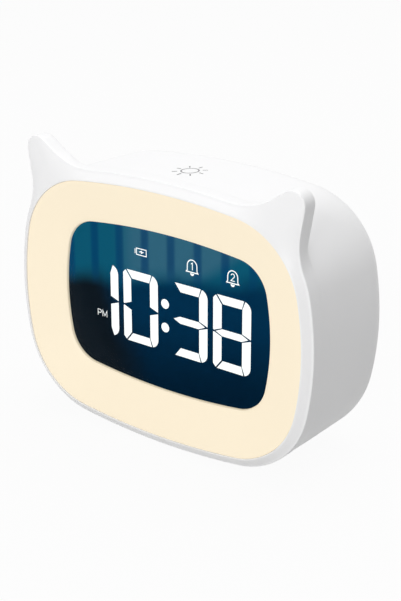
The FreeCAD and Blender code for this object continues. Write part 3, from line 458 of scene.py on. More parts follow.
carry("lens_tape", surface("tape_black", skin_group, {
    "Colour": (0.02, 0.02, 0.022, 1), "Shade": (0.03, 0.03, 0.03, 1), "Cloud scale": 300.0,
    "Grain scale": 4000.0, "Roughness": 0.7, "Roughness spread": 0.1}, bump=0.3))

# Film: plastic foil behind the window, coloured with a painted reflection: teal at the top and navy
# below, faint upright bands, a lighter haze near the top and painted shade at the lower left.
# It is cut out over each stroke and dot, and its border laps over the tape.
# The edges of its painted tones are in metres, and the bands in radians per metre.
REFLECTION_DEEP, REFLECTION_NAVY = (0.0010, 0.013, 0.034, 1), (0.0012, 0.030, 0.080, 1)
PAINTED_SHADE, REFLECTION_TEAL = (0.0055, 0.010, 0.016, 1), (0.005, 0.098, 0.175, 1)
REFLECTION_HAZE, REFLECTION_BAND = (0.040, 0.140, 0.220, 1), (0.0015, 0.045, 0.145, 1)
REFLECTION_NAVY_RISE = (0.018, 0.052)
PAINTED_SHADE_EDGE = (0.004, -0.016)
REFLECTION_TEAL_EDGE = (0.056, 0.066)
REFLECTION_HAZE_FOOT = (0.058, 0.066)
REFLECTION_HAZE_SIDE = (-0.024, -0.012)
REFLECTION_BEAM_EDGE = (0.048, 0.056)
EDGE_SLANT, PAINTED_SHADE_SLANT, REFLECTION_BEAM_SLANT = -0.17, 0.35, -0.76
WANDER = 0.012
REFLECTION_BAND_WAVES = 540.0
REFLECTION_BAND_EDGE = (0.2, 1.0)
REFLECTION_HAZE_SHARE, REFLECTION_BAND_SHARE = 0.85, 0.7
PRINT_LIFT = 0.04
BORDER_THICK = 0.03
BORDER_GAP = 0.02
BORDER_LAP = 1.7


def soft_range(tree, value, low, high):
    """0 at low, 1 at high, and smooth between."""
    node = add_node(tree, "ShaderNodeMapRange", {"interpolation_type": "SMOOTHSTEP"},
                    {"From Min": low, "From Max": high}, {"Value": value})
    return node.outputs["Result"]


painted_reflection_film, tree, sheet = new_material("mask_film", {"Roughness": 0.35, "Specular IOR Level": 0.0})
place = add_node(tree, "ShaderNodeTexCoord")
axes = add_node(tree, "ShaderNodeSeparateXYZ", links={0: place.outputs["Object"]})
across, up = axes.outputs["X"], axes.outputs["Z"]
drift = add_node(tree, "ShaderNodeTexNoise", values={"Scale": 35.0, "Detail": 2.0},
                 links={"Vector": place.outputs["Object"]})
wander = math_node(tree, "MULTIPLY_ADD", drift.outputs["Fac"], WANDER, -WANDER / 2)
height = math_node(tree, "ADD", math_node(tree, "MULTIPLY_ADD", across, EDGE_SLANT, up), wander)
# Painted reflection: dark at the bottom of the film, navy above it and teal at the top.
reflection_tone = colour_mix(tree, soft_range(tree, height, *REFLECTION_NAVY_RISE), REFLECTION_DEEP, REFLECTION_NAVY)
# Painted shade: a darker patch at the lower left of the film.
corner = math_node(tree, "ADD", math_node(tree, "MULTIPLY_ADD", up, PAINTED_SHADE_SLANT, across), wander)
reflection_tone = colour_mix(tree, soft_range(tree, corner, *PAINTED_SHADE_EDGE), reflection_tone, PAINTED_SHADE)
reflection_tone = colour_mix(tree, soft_range(tree, height, *REFLECTION_TEAL_EDGE), reflection_tone, REFLECTION_TEAL)
# Painted reflection: a lighter slanting haze near the top of the film.
beam = math_node(tree, "MULTIPLY_ADD", across, REFLECTION_BEAM_SLANT, up)
haze = math_node(tree, "MULTIPLY", soft_range(tree, beam, *REFLECTION_BEAM_EDGE),
                 soft_range(tree, height, *REFLECTION_HAZE_FOOT))
haze = math_node(tree, "MULTIPLY", haze, soft_range(tree, across, *REFLECTION_HAZE_SIDE))
reflection_tone = colour_mix(tree, math_node(tree, "MULTIPLY", haze, REFLECTION_HAZE_SHARE), reflection_tone, REFLECTION_HAZE)
# Painted reflection: faint upright bands over the teal.
wave = math_node(tree, "SINE", math_node(tree, "MULTIPLY", across, REFLECTION_BAND_WAVES))
bands = math_node(tree, "MULTIPLY", soft_range(tree, wave, *REFLECTION_BAND_EDGE),
                  soft_range(tree, height, *REFLECTION_TEAL_EDGE))
reflection_tone = colour_mix(tree, math_node(tree, "MULTIPLY", bands, REFLECTION_BAND_SHARE), reflection_tone, REFLECTION_BAND)
tree.links.new(reflection_tone, sheet.inputs["Base Color"])
carry("display_mask", painted_reflection_film)
carry("sign_windows", painted_reflection_film)
border_side, border_front = window_side - BORDER_GAP, FILM_FRONT - PRINT_LIFT
border_back = border_front + BORDER_THICK
border_section = [(border_side, border_back), (border_side - BORDER_LAP, border_back),
                  (border_side - BORDER_LAP, border_front), (border_side, border_front)]
dress(outline_mesh("film_border", lambda p, n: border_section), painted_reflection_film, "clock")

# Display lights: seven-segment strokes and colon dots, clear light guides that end flush with the
# film, and small signs drawn as thin shapes on it. They glow plain white.
segment_white = surface("segment_white", skin_group, {
    "Colour": (0.30, 0.30, 0.30, 1), "Shade": (0.27, 0.27, 0.28, 1), "Cloud scale": 200.0,
    "Grain scale": 3000.0, "Roughness": 0.4, "Roughness spread": 0.05},
    {"Emission Color": (1.0, 1.0, 1.0, 1), "Emission Strength": 0.85}, bump=0.03)
carry("digit_segments", segment_white)
carry("colon_dots", segment_white)
SIGN_THICK = 0.06
SIGN_LINE = 0.36
NUMERAL_LINE = 0.27
LETTER_LINE = 0.22
CELL_LINE = 0.3
MITRE_LEAST = 0.3
BELLS = ((12.2, "1"), (29.3, "2"))
BELL_Z = 19.5
DOME_RISE, DOME_R = 0.35, 2.05
BELL_SKIRT = ((-2.1, -1.4), (-2.5, -1.95), (2.5, -1.95), (2.1, -1.4))
CLAPPER_DROP, CLAPPER_R = 2.35, 0.85
ONE_LINE = ((-0.5, 0.95), (0.12, 1.35), (0.12, -1.15))
TWO_RISE, TWO_R = 0.65, 0.7
TWO_FOOT = ((-0.75, -1.1), (0.85, -1.1))
CELL_PLACE = (-10.3, 19.85)
CELL_CASE = ((-2.1, -1.15), (2.3, -1.15), (2.3, 1.15), (-2.1, 1.15))
CELL_POLE = ((-2.75, -0.85), (-2.75, 0.85))
CELL_BOLT = ((-1.2, -0.12), (0.5, 0.75), (0.2, 0.12), (1.4, 0.2), (-0.2, -0.7), (0.05, -0.1))
LETTER_PLACE = (-31.2, -8.2)
LETTER_H = 2.3
BOWL_REACH, BOWL_SHARE = 1.0, 0.26
M_LEFT, M_WIDTH, M_VALLEY = 2.25, 2.0, 0.35


def on_display(u, w, depth):
    """Point on the film, at u to the right of the middle and w above it."""
    return Vector((u, FRONT + FILM_FRONT - PRINT_LIFT + depth, FACE_MIDDLE_Z + w)) * MM


def stroke(parts, points, width, depth, place, closed=False):
    """Adds a thin flat line along points to parts, with mitred corners and closed ends."""
    verts, faces = parts
    base, count = len(verts), len(points)
    for i in range(count):
        here = Vector(points[i])
        before = Vector(points[i - 1]) if closed or i else here * 2 - Vector(points[1])
        after = Vector(points[(i + 1) % count]) if closed or i < count - 1 else here * 2 - before
        into, out = (here - before).normalized(), (after - here).normalized()
        lean = (into + out).normalized()
        half = Vector((-lean.y, lean.x)) * (width / 2 / max(lean.dot(into), MITRE_LEAST))
        for sign, back in ((1, 0), (-1, 0), (-1, depth), (1, depth)):
            spot = here + half * sign
            verts.append(place(spot.x, spot.y, back))
    for i in range(count if closed else count - 1):
        first, second = base + i * 4, base + (i + 1) % count * 4
        faces += [(first + k, first + (k + 1) % 4, second + (k + 1) % 4, second + k) for k in range(4)]
    if not closed:
        faces.append(tuple(base + k for k in reversed(range(4))))
        faces.append(tuple(base + (count - 1) * 4 + k for k in range(4)))


def solid_shape(parts, points, depth, place):
    """Adds a thin filled shape with this outline to parts."""
    verts, faces = parts
    base, count = len(verts), len(points)
    verts += [place(u, w, 0) for u, w in points] + [place(u, w, depth) for u, w in points]
    faces += [(base + i, base + (i + 1) % count, base + count + (i + 1) % count, base + count + i)
              for i in range(count)]
    faces.append(tuple(base + i for i in reversed(range(count))))
    faces.append(tuple(base + count + i for i in range(count)))


def round_run(cx, cz, radius, start, end, count):
    """Points on an arc, with its angles in degrees."""
    turns = [math.radians(start + (end - start) * i / count) for i in range(count + 1)]
    return [(cx + radius * math.cos(turn), cz + radius * math.sin(turn)) for turn in turns]


def moved(points, x, z):
    """A sign's points, set at its place on the display."""
    return [(x + u, z + w) for u, w in points]


def drawn_piece(name, parts):
    """Piece made of the gathered thin shapes, with its faces turned outwards."""
    mesh = bpy.data.meshes.new(name)
    mesh.from_pydata(parts[0], [], parts[1])
    shape = bmesh.new()
    shape.from_mesh(mesh)
    bmesh.ops.recalc_face_normals(shape, faces=shape.faces)
    shape.to_mesh(mesh)
    shape.free()
    return linked(name, mesh)


signs = ([], [])


def sign_line(points, width, closed=False):
    """Draws a line of the small signs."""
    stroke(signs, points, width, SIGN_THICK, on_display, closed)


def sign_shape(points):
    """Draws a filled shape of the small signs."""
    solid_shape(signs, points, SIGN_THICK, on_display)


for bell_x, numeral in BELLS:
    dome = round_run(bell_x, BELL_Z + DOME_RISE, DOME_R, 0, 180, 14)
    sign_line(dome + moved(BELL_SKIRT, bell_x, BELL_Z), SIGN_LINE, closed=True)
    sign_shape(round_run(bell_x, BELL_Z - CLAPPER_DROP, CLAPPER_R, 180, 360, 8))
    if numeral == "1":
        sign_line(moved(ONE_LINE, bell_x, BELL_Z), NUMERAL_LINE)
    else:
        sign_line(round_run(bell_x, BELL_Z + TWO_RISE, TWO_R, 165, -25, 7)
                  + moved(TWO_FOOT, bell_x, BELL_Z), NUMERAL_LINE)
sign_line(moved(CELL_CASE, *CELL_PLACE), CELL_LINE, closed=True)
sign_line(moved(CELL_POLE, *CELL_PLACE), CELL_LINE)
sign_shape(moved(CELL_BOLT, *CELL_PLACE))
letter_p = [(0.0, 0.0), (0.0, LETTER_H)]
letter_p += round_run(BOWL_REACH, LETTER_H * (1 - BOWL_SHARE), LETTER_H * BOWL_SHARE, 90, -90, 7)
letter_p += [(0.0, LETTER_H * (1 - 2 * BOWL_SHARE))]
letter_m = [(M_LEFT, 0.0), (M_LEFT, LETTER_H), (M_LEFT + M_WIDTH / 2, M_VALLEY),
            (M_LEFT + M_WIDTH, LETTER_H), (M_LEFT + M_WIDTH, 0.0)]
sign_line(moved(letter_p, *LETTER_PLACE), LETTER_LINE)
sign_line(moved(letter_m, *LETTER_PLACE), LETTER_LINE)
dress(drawn_piece("display_signs", signs), segment_white, "clock")

# Reflector: black moulded block behind the film, with a tapered light well for each stroke.
# It snaps on to the display's circuit board and keeps one stroke's light out of the next.
carry("display_reflector", surface("reflector_black", skin_group, {
    "Colour": (0.018, 0.018, 0.02, 1), "Shade": (0.03, 0.03, 0.032, 1), "Cloud scale": 90.0,
    "Grain scale": 3000.0, "Roughness": 0.55, "Roughness spread": 0.1}, bump=0.3))

# Display board and its screws: a glass-fibre panel with a green mask, fixed to the tray's bosses.
# The bright steel screws are turned and rolled, with a cross recess.
TRACK_EDGE = (0.42, 0.5)


def printed_board():
    """Circuit board: solder mask over straight copper tracks."""
    group, given, out = node_group(
        "printed_board",
        (("Mask", COLOUR, (0.01, 0.12, 0.05, 1)), ("Track", COLOUR, (0.02, 0.2, 0.08, 1)),
         ("Track scale", NUMBER, 900.0), ("Roughness", NUMBER, 0.35), ("Roughness spread", NUMBER, 0.1)),
        SKIN_OUTPUTS)
    place = add_node(group, "ShaderNodeTexCoord")
    cells = add_node(group, "ShaderNodeTexVoronoi", {"distance": "CHEBYCHEV"}, {"Randomness": 0.25},
                     {"Vector": place.outputs["Object"], "Scale": given.outputs["Track scale"]})
    lines = soft_range(group, cells.outputs["Distance"], *TRACK_EDGE)
    tone = colour_mix(group, lines, given.outputs["Mask"], given.outputs["Track"])
    return end_group(group, given, out, tone, cells.outputs["Distance"], lines)


def worked_metal():
    """Sheet or turned metal: fine drawn streaks, slight stains and uneven polish."""
    group, given, out = node_group(
        "worked_metal",
        (("Colour", COLOUR, (0.6, 0.6, 0.6, 1)), ("Stain", COLOUR, (0.4, 0.4, 0.4, 1)),
         ("Streak scale", NUMBER, 900.0), ("Roughness", NUMBER, 0.3), ("Roughness spread", NUMBER, 0.15)),
        SKIN_OUTPUTS)
    place = add_node(group, "ShaderNodeTexCoord")
    pulled = add_node(group, "ShaderNodeMapping", values={"Scale": (1.0, 0.1, 1.0)},
                      links={"Vector": place.outputs["Object"]})
    streaks = add_node(group, "ShaderNodeTexNoise", values={"Detail": 3.0},
                       links={"Vector": pulled.outputs["Vector"], "Scale": given.outputs["Streak scale"]})
    stains = add_node(group, "ShaderNodeTexNoise", values={"Scale": 160.0, "Detail": 4.0},
                      links={"Vector": place.outputs["Object"]})
    tone = colour_mix(group, stains.outputs["Fac"], given.outputs["Colour"], given.outputs["Stain"])
    return end_group(group, given, out, tone, streaks.outputs["Fac"], streaks.outputs["Fac"])


board_group = printed_board()
metal_group = worked_metal()
circuit_board = surface("circuit_board", board_group, {
    "Mask": (0.008, 0.11, 0.045, 1), "Track": (0.02, 0.19, 0.075, 1), "Track scale": 620.0,
    "Roughness": 0.3, "Roughness spread": 0.15}, bump=0.3)
screw_steel = surface("screw_steel", metal_group, {
    "Colour": (0.62, 0.62, 0.60, 1), "Stain": (0.48, 0.48, 0.47, 1), "Streak scale": 1800.0,
    "Roughness": 0.24, "Roughness spread": 0.14}, {"Metallic": 1.0}, bump=0.1)
carry("display_board", circuit_board)
carry("display_screws", screw_steel)

# Light tray: white moulded frame that holds the lamp board behind the ring and sends light forward.
# Four screws fix it to the housing's bosses, and the lamps are warm white surface-mounted diodes.
carry("light_tray", surface("tray_white", skin_group, {
    "Colour": (0.82, 0.82, 0.80, 1), "Shade": (0.78, 0.78, 0.76, 1), "Cloud scale": 45.0,
    "Grain scale": 2600.0, "Roughness": 0.45, "Roughness spread": 0.08}))
carry("light_board", surface("lamp_board", board_group, {
    "Mask": (0.72, 0.72, 0.69, 1), "Track": (0.66, 0.66, 0.63, 1), "Track scale": 500.0,
    "Roughness": 0.35, "Roughness spread": 0.1}))
carry("light_leds", surface("led_warm", skin_group, {
    "Colour": (0.85, 0.62, 0.20, 1), "Shade": (0.80, 0.55, 0.16, 1), "Cloud scale": 900.0,
    "Grain scale": 4000.0, "Roughness": 0.35, "Roughness spread": 0.1},
    {"Emission Color": (1.0, 0.75, 0.42, 1), "Emission Strength": 0.6}))
carry("tray_screws", screw_steel)

# Main board: the clock's circuit board with its chips and capacitor, on four bosses at the back.
# It carries the four push switches behind the keys and the charging socket.
chip_black = surface("chip_black", skin_group, {
    "Colour": (0.025, 0.025, 0.027, 1), "Shade": (0.04, 0.04, 0.042, 1), "Cloud scale": 500.0,
    "Grain scale": 5000.0, "Roughness": 0.5, "Roughness spread": 0.12}, bump=0.2)
carry("main_board", circuit_board)
carry("board_parts", chip_black)
carry("board_screws", screw_steel)
carry("switch_bases", chip_black)
socket_metal = surface("socket_metal", metal_group, {
    "Colour": (0.55, 0.55, 0.54, 1), "Stain": (0.42, 0.42, 0.42, 1), "Streak scale": 1400.0,
    "Roughness": 0.28, "Roughness spread": 0.12}, {"Metallic": 1.0}, bump=0.08)
carry("usb_socket", socket_metal)
ribbon_film = surface("ribbon_film", skin_group, {
    "Colour": (0.45, 0.20, 0.045, 1), "Shade": (0.36, 0.15, 0.03, 1), "Cloud scale": 300.0,
    "Grain scale": 3000.0, "Roughness": 0.3, "Roughness spread": 0.1}, bump=0.1)
carry("ribbon_cable", ribbon_film)

# Loudspeaker: pressed steel basket, paper cone and a foam gasket against the cover's grille.
# Its two leads, the battery's and the touch plate's are stranded copper in a soft red jacket.
carry("speaker_frame", surface("speaker_metal", metal_group, {
    "Colour": (0.38, 0.38, 0.38, 1), "Stain": (0.28, 0.28, 0.28, 1), "Streak scale": 700.0,
    "Roughness": 0.4, "Roughness spread": 0.2}, {"Metallic": 1.0}))
carry("speaker_cone", surface("cone_paper", skin_group, {
    "Colour": (0.035, 0.035, 0.035, 1), "Shade": (0.06, 0.058, 0.055, 1), "Cloud scale": 500.0,
    "Grain scale": 1500.0, "Roughness": 0.85, "Roughness spread": 0.1}, bump=0.5))
carry("speaker_gasket", surface("foam_black", skin_group, {
    "Colour": (0.02, 0.02, 0.02, 1), "Shade": (0.045, 0.045, 0.045, 1), "Cloud scale": 1200.0,
    "Grain scale": 1200.0, "Roughness": 0.9, "Roughness spread": 0.1}, bump=0.8))
lead_jacket = surface("lead_jacket", skin_group, {
    "Colour": (0.42, 0.02, 0.015, 1), "Shade": (0.30, 0.012, 0.01, 1), "Cloud scale": 120.0,
    "Grain scale": 3000.0, "Roughness": 0.45, "Roughness spread": 0.1}, bump=0.15)
for node in ("speaker_leads", "battery_leads", "touch_lead"):
    carry(node, lead_jacket)

# Battery: one round lithium cell in a blue plastic sleeve, which lies in a grey moulded cradle.
# The cradle is clipped to the housing's floor and hugs the cell from below.
carry("battery_cell", surface("cell_wrap", skin_group, {
    "Colour": (0.02, 0.09, 0.30, 1), "Shade": (0.016, 0.07, 0.24, 1), "Cloud scale": 60.0,
    "Grain scale": 1200.0, "Roughness": 0.28, "Roughness spread": 0.1}, bump=0.15))
carry("battery_cradle", surface("cradle_grey", skin_group, {
    "Colour": (0.30, 0.30, 0.31, 1), "Shade": (0.26, 0.26, 0.27, 1), "Cloud scale": 70.0,
    "Grain scale": 2600.0, "Roughness": 0.5, "Roughness spread": 0.1}))

# Touch plate: thin copper foil stuck under the crown, which feels a finger on the light mark.
# Its lead, dressed with the others above, runs down to the main board.
carry("touch_plate", surface("copper_foil", metal_group, {
    "Colour": (0.78, 0.36, 0.20, 1), "Stain": (0.60, 0.27, 0.15, 1), "Streak scale": 600.0,
    "Roughness": 0.3, "Roughness spread": 0.15}, {"Metallic": 1.0}, bump=0.15))

# Back cover: flat white moulding let into the housing's rear, with the speaker's grille, a window
# for the charging socket and a shallow pocket for the keys.
cover_white = surface("cover_white", skin_group, {
    "Colour": (0.83, 0.83, 0.835, 1), "Shade": (0.81, 0.81, 0.815, 1), "Cloud scale": 34.0,
    "Grain scale": 1500.0, "Roughness": 0.5, "Roughness spread": 0.08}, {"IOR": 1.46}, bump=0.3)
carry("back_cover", cover_white)

# Keys: four white caps in a row in the cover's pocket, each moulded with a satin face.
# Each rides inwards on its own grey switch stem, which springs back from the main board.
key_white = surface("key_white", skin_group, {
    "Colour": (0.80, 0.80, 0.805, 1), "Shade": (0.77, 0.77, 0.775, 1), "Cloud scale": 120.0,
    "Grain scale": 2600.0, "Roughness": 0.42, "Roughness spread": 0.08}, bump=0.15)
stem_grey = surface("stem_grey", skin_group, {
    "Colour": (0.20, 0.20, 0.21, 1), "Shade": (0.26, 0.26, 0.27, 1), "Cloud scale": 300.0,
    "Grain scale": 3000.0, "Roughness": 0.5, "Roughness spread": 0.1})
for name in ("set", "alarm", "minus", "plus"):
    carry(name + "_key", key_white)
    carry(name + "_switch_stem", stem_grey)

# Cover screws: four pan-head steel screws with a cross recess, sunk in the cover's corners.
# A driver leaves each one turned its own way.
HEAD_R = 2.2
HEAD_DEPTH = 1.1
SHANK_R = 1.1
RECESS_REACH = 1.25
RECESS_WIDTH = 0.5
RECESS_DEPTH = 0.7
CUTTER_TOP = 1.0
SHANK_POINT = 1.0
HEAD_CROWN = ((1.0, -0.55), (0.93, -0.25), (0.78, -0.06), (0.6, 0.0))
DRIVER_SEED = 3


def turned_solid(name, profile, axis, steps=36):
    """Closed solid turned about Y or Z from (radius, along) pairs, which start and end off the axis."""
    shape = bmesh.new()
    rings = []
    for radius, along in profile:
        ring = []
        for k in range(steps):
            spot = heading(math.tau * k / steps) * radius
            place = (spot.x, along, spot.y) if axis == "Y" else (spot.x, spot.y, along)
            ring.append(shape.verts.new(Vector(place) * MM))
        rings.append(ring)
    for first, second in zip(rings, rings[1:]):
        for k in range(steps):
            shape.faces.new((first[k], first[(k + 1) % steps], second[(k + 1) % steps], second[k]))
    shape.faces.new(rings[0])
    shape.faces.new(rings[-1])
    bmesh.ops.recalc_face_normals(shape, faces=shape.faces)
    mesh = bpy.data.meshes.new(name)
    shape.to_mesh(mesh)
    shape.free()
    mesh.polygons.foreach_set("use_smooth", [len(p.vertices) == 4 for p in mesh.polygons])
    mesh.set_sharp_from_angle(angle=SHARP_ANGLE)
    return linked(name, mesh)


def block_piece(name, low, high):
    """Box between two corners."""
    mesh = bpy.data.meshes.new(name)
    shape = bmesh.new()
    bmesh.ops.create_cube(shape, size=1.0)
    for vert in shape.verts:
        vert.co = Vector([(a + b) / 2 + share * (b - a) for a, b, share in zip(low, high, vert.co)]) * MM
    shape.to_mesh(mesh)
    shape.free()
    return linked(name, mesh)


def copies_tree():
    """Geometry Nodes: a pattern piece on each point, turned at random about Y, made real."""
    tree = bpy.data.node_groups.new("copies_on_points", "GeometryNodeTree")
    for label, kind in (("Points", "NodeSocketGeometry"), ("Pattern", "NodeSocketObject"),
                        ("Largest turn", "NodeSocketFloat"), ("Seed", "NodeSocketInt"),
                        ("Finish", "NodeSocketMaterial")):
        tree.interface.new_socket(name=label, in_out="INPUT", socket_type=kind)
    tree.interface.new_socket(name="Copies", in_out="OUTPUT", socket_type="NodeSocketGeometry")
    given = tree.nodes.new("NodeGroupInput")
    out = tree.nodes.new("NodeGroupOutput")
    pattern = add_node(tree, "GeometryNodeObjectInfo", links={"Object": given.outputs["Pattern"]})
    turn = add_node(tree, "FunctionNodeRandomValue", {"data_type": "FLOAT"})
    tree.links.new(given.outputs["Largest turn"], turn.inputs[3])
    tree.links.new(given.outputs["Seed"], turn.inputs["Seed"])
    turned = add_node(tree, "ShaderNodeCombineXYZ", links={"Y": turn.outputs[1]})
    copies = add_node(tree, "GeometryNodeInstanceOnPoints", links={
        "Points": given.outputs["Points"], "Instance": pattern.outputs["Geometry"],
        "Rotation": turned.outputs[0]})
    real = add_node(tree, "GeometryNodeRealizeInstances", links={"Geometry": copies.outputs[0]})
    finish = add_node(tree, "GeometryNodeSetMaterial", links={
        "Geometry": real.outputs[0], "Material": given.outputs["Finish"]})
    tree.links.new(finish.outputs[0], out.inputs["Copies"])
    return tree


copies_group = copies_tree()


def copies_piece(name, pattern, places, material, largest_turn=0.0):
    """One plain mesh with a copy of the pattern at each place."""
    points = bpy.data.meshes.new(name + "_places")
    points.from_pydata(places, [], [])
    holder = linked(name + "_places", points)
    repeat = holder.modifiers.new("copies", "NODES")
    repeat.node_group = copies_group
    inputs = {item.name: item.identifier for item in copies_group.interface.items_tree
              if item.in_out == "INPUT"}
    repeat[inputs["Pattern"]] = pattern
    repeat[inputs["Largest turn"]] = largest_turn
    repeat[inputs["Seed"]] = DRIVER_SEED
    repeat[inputs["Finish"]] = material
    mesh = bpy.data.meshes.new_from_object(holder.evaluated_get(bpy.context.evaluated_depsgraph_get()))
    holder.modifiers.remove(repeat)
    bpy.data.objects.remove(holder)
    bpy.data.objects.remove(pattern)
    mesh.name = name
    return linked(name, mesh)


def corner_boxes(node, first, second):
    """Low and high corner of the four like solids that a CAD node holds, split on two axes."""
    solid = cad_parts[node]
    verts = [solid.matrix_world @ v.co for v in solid.data.vertices]
    middles = [(min(v[a] for v in verts) + max(v[a] for v in verts)) / 2 for a in (first, second)]
    boxes = []
    for right in (False, True):
        for far in (False, True):
            part = [v for v in verts
                    if (v[first] > middles[0]) == right and (v[second] > middles[1]) == far]
            boxes.append([[pick(v[a] for v in part) for a in range(3)] for pick in (min, max)])
    return boxes


screw_boxes = corner_boxes("cover_screws", 0, 2)
shank = (screw_boxes[0][1][1] - screw_boxes[0][0][1]) / MM
screw = turned_solid("screw", [
    (SHANK_R / 2, -shank), (SHANK_R, -shank + SHANK_POINT), (SHANK_R, -HEAD_DEPTH), (HEAD_R, -HEAD_DEPTH)]
    + [(HEAD_R * share, along) for share, along in HEAD_CROWN], "Y")
for wide, tall in ((RECESS_REACH, RECESS_WIDTH / 2), (RECESS_WIDTH / 2, RECESS_REACH)):
    cutter = block_piece("cutter", (-wide, -RECESS_DEPTH, -tall), (wide, CUTTER_TOP, tall))
    cut = screw.modifiers.new("recess", "BOOLEAN")
    cut.operation = "DIFFERENCE"
    cut.object = cutter
    mesh = bpy.data.meshes.new_from_object(screw.evaluated_get(bpy.context.evaluated_depsgraph_get()))
    screw.modifiers.remove(cut)
    screw.data = mesh
    bpy.data.objects.remove(cutter)
screw_places = [((low[0] + high[0]) / 2, high[1], (low[2] + high[2]) / 2) for low, high in screw_boxes]
dress(copies_piece("crossed_screws", screw, screw_places, screw_steel, math.pi / 2), screw_steel,
      "clock", ["cover_screws"])

# Feet: four grey rubber pads with a rounded rim, pressed into pockets under the housing.
# They stand a little proud of it and keep the clock from sliding.
FOOT_R = 5.0
FOOT_ROUND = 0.5
foot_rubber = surface("foot_rubber", skin_group, {
    "Colour": (0.16, 0.16, 0.165, 1), "Shade": (0.21, 0.21, 0.215, 1), "Cloud scale": 150.0,
    "Grain scale": 1600.0, "Roughness": 0.7, "Roughness spread": 0.12}, bump=0.4)
foot_boxes = corner_boxes("rubber_feet", 0, 1)
foot_height = (foot_boxes[0][1][2] - foot_boxes[0][0][2]) / MM
foot = turned_solid("foot", [(FOOT_R - FOOT_ROUND, 0.0)] + curve_steps(
    (FOOT_R - FOOT_ROUND, 0.0), (FOOT_R, FOOT_ROUND), 5, (FOOT_R, 0.0)) + [(FOOT_R, foot_height)], "Z")
foot_places = [((low[0] + high[0]) / 2, (low[1] + high[1]) / 2, low[2]) for low, high in foot_boxes]
dress(copies_piece("foot_pads", foot, foot_places, foot_rubber), foot_rubber,
      "clock", ["rubber_feet"])

# Light mark: a small sun printed in grey on the top, over the touch plate that dims the light.
# Thin pad-printed ink: a ring and eight short rays.
SUN_DEPTH = 20.0
SUN_R = 2.85
RAY_RUN = (4.0, 5.7)
SUN_STRETCH = 1.2
INK_WIDTH = 0.42
INK_THICK = 0.03


def on_top(u, w, lift):
    """Point on the drafted crown, at u to the right of the middle and w behind the mark's middle."""
    y = SUN_DEPTH + w * SUN_STRETCH
    radius = CROWN_R - BODY_DRAFT * (y - DRAFT_START) / (DEPTH - DRAFT_START)
    z = CROWN_CENTRE.y + math.sqrt(radius ** 2 - u ** 2)
    return Vector((u, FRONT + y, FACE_MIDDLE_Z + z + INK_THICK - lift)) * MM


sun = ([], [])
stroke(sun, round_run(0, 0, SUN_R, 0, 360, 48)[:-1], INK_WIDTH, 2 * INK_THICK, on_top, closed=True)
for turn in range(0, 360, 45):
    direction = heading(math.radians(turn))
    stroke(sun, [direction * r for r in (RAY_RUN[0], sum(RAY_RUN) / 2, RAY_RUN[1])], INK_WIDTH,
           2 * INK_THICK, on_top)
print_grey = surface("print_grey", skin_group, {
    "Colour": (0.15, 0.15, 0.155, 1), "Shade": (0.20, 0.20, 0.205, 1), "Cloud scale": 400.0,
    "Grain scale": 5000.0, "Roughness": 0.55, "Roughness spread": 0.1})
dress(drawn_piece("sun_mark", sun), print_grey, "clock")

# Studio: a plain pale floor, soft lamps and the camera at the photograph's viewing angle.
# The floor shows white to the camera and keeps the object's shadow.
FLOOR_HALF = 6.0
FLOOR_PAINT = (0.55, 0.55, 0.55, 1)
FLOOR_SHARE = 0.95
WHITE = (1, 1, 1, 1)
AMBIENT = 0.39
LAMP_SIZE = 1.0
CAMERA_PLACE = Vector((0.2945, -0.3684, 0.2264))
CAMERA_AZIMUTH = math.radians(38.7)
CAMERA_ELEVATION = math.radians(20.8)
CAMERA_LENS = 85.2


def seen_plainly(tree):
    """1 on camera, mirrored and refracted rays, and 0 on the rays that light the scene."""
    path = add_node(tree, "ShaderNodeLightPath")
    seen = math_node(tree, "MAXIMUM", path.outputs["Is Camera Ray"], path.outputs["Is Glossy Ray"])
    return math_node(tree, "MAXIMUM", seen, path.outputs["Is Transmission Ray"])


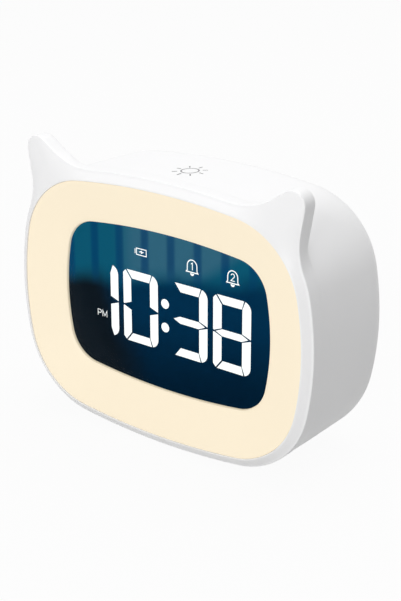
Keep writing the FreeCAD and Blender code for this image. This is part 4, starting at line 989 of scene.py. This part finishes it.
floor_mesh = bpy.data.meshes.new("floor")
floor_corners = [(x * FLOOR_HALF, y * FLOOR_HALF, 0) for x, y in ((-1, -1), (1, -1), (1, 1), (-1, 1))]
floor_mesh.from_pydata(floor_corners, [], [(0, 1, 2, 3)])
floor = linked("floor", floor_mesh)
pale, tree, paint = new_material("pale_floor", {
    "Base Color": FLOOR_PAINT, "Roughness": 0.9, "Specular IOR Level": 0.0})
glow = add_node(tree, "ShaderNodeEmission", values={"Color": WHITE, "Strength": 1.0})
share = math_node(tree, "MULTIPLY", seen_plainly(tree), FLOOR_SHARE)
blend = add_node(tree, "ShaderNodeMixShader", links={0: share, 1: paint.outputs[0], 2: glow.outputs[0]})
tree.links.new(blend.outputs[0], tree.nodes["Material Output"].inputs["Surface"])
floor_mesh.materials.append(pale)

world = bpy.data.worlds.new("studio")
bpy.context.scene.world = world
world.use_nodes = True
tree = world.node_tree
backdrop = add_node(tree, "ShaderNodeBackground", values={"Color": WHITE, "Strength": 1.0})
ambient = add_node(tree, "ShaderNodeBackground", values={"Color": WHITE, "Strength": AMBIENT})
blend = add_node(tree, "ShaderNodeMixShader",
                 links={0: seen_plainly(tree), 1: ambient.outputs[0], 2: backdrop.outputs[0]})
tree.links.new(blend.outputs[0], tree.nodes["World Output"].inputs["Surface"])


def soft_lamp(name, place, watts):
    """Square area lamp that faces the middle of the clock."""
    data = bpy.data.lights.new(name, "AREA")
    data.size = LAMP_SIZE
    data.energy = watts
    aim = Vector((0, 0, FACE_MIDDLE_Z * MM)) - Vector(place)
    linked(name, data).matrix_world = (
        Matrix.Translation(place) @ aim.to_track_quat("-Z", "Y").to_matrix().to_4x4())


soft_lamp("top_lamp", (0.0, 0.34, 1.25), 10.8)
soft_lamp("front_lamp", (0.12, -1.35, 0.45), 12.1)

camera_data = bpy.data.cameras.new("camera")
camera_data.lens = CAMERA_LENS
camera_data.sensor_width = 36.0
camera_data.clip_start = 0.01
camera = linked("camera", camera_data)
back = Vector((math.sin(CAMERA_AZIMUTH) * math.cos(CAMERA_ELEVATION),
               -math.cos(CAMERA_AZIMUTH) * math.cos(CAMERA_ELEVATION), math.sin(CAMERA_ELEVATION)))
camera.matrix_world = Matrix.Translation(CAMERA_PLACE) @ back.to_track_quat("Z", "Y").to_matrix().to_4x4()
bpy.context.scene.camera = camera
bpy.context.scene.view_settings.view_transform = "Standard"
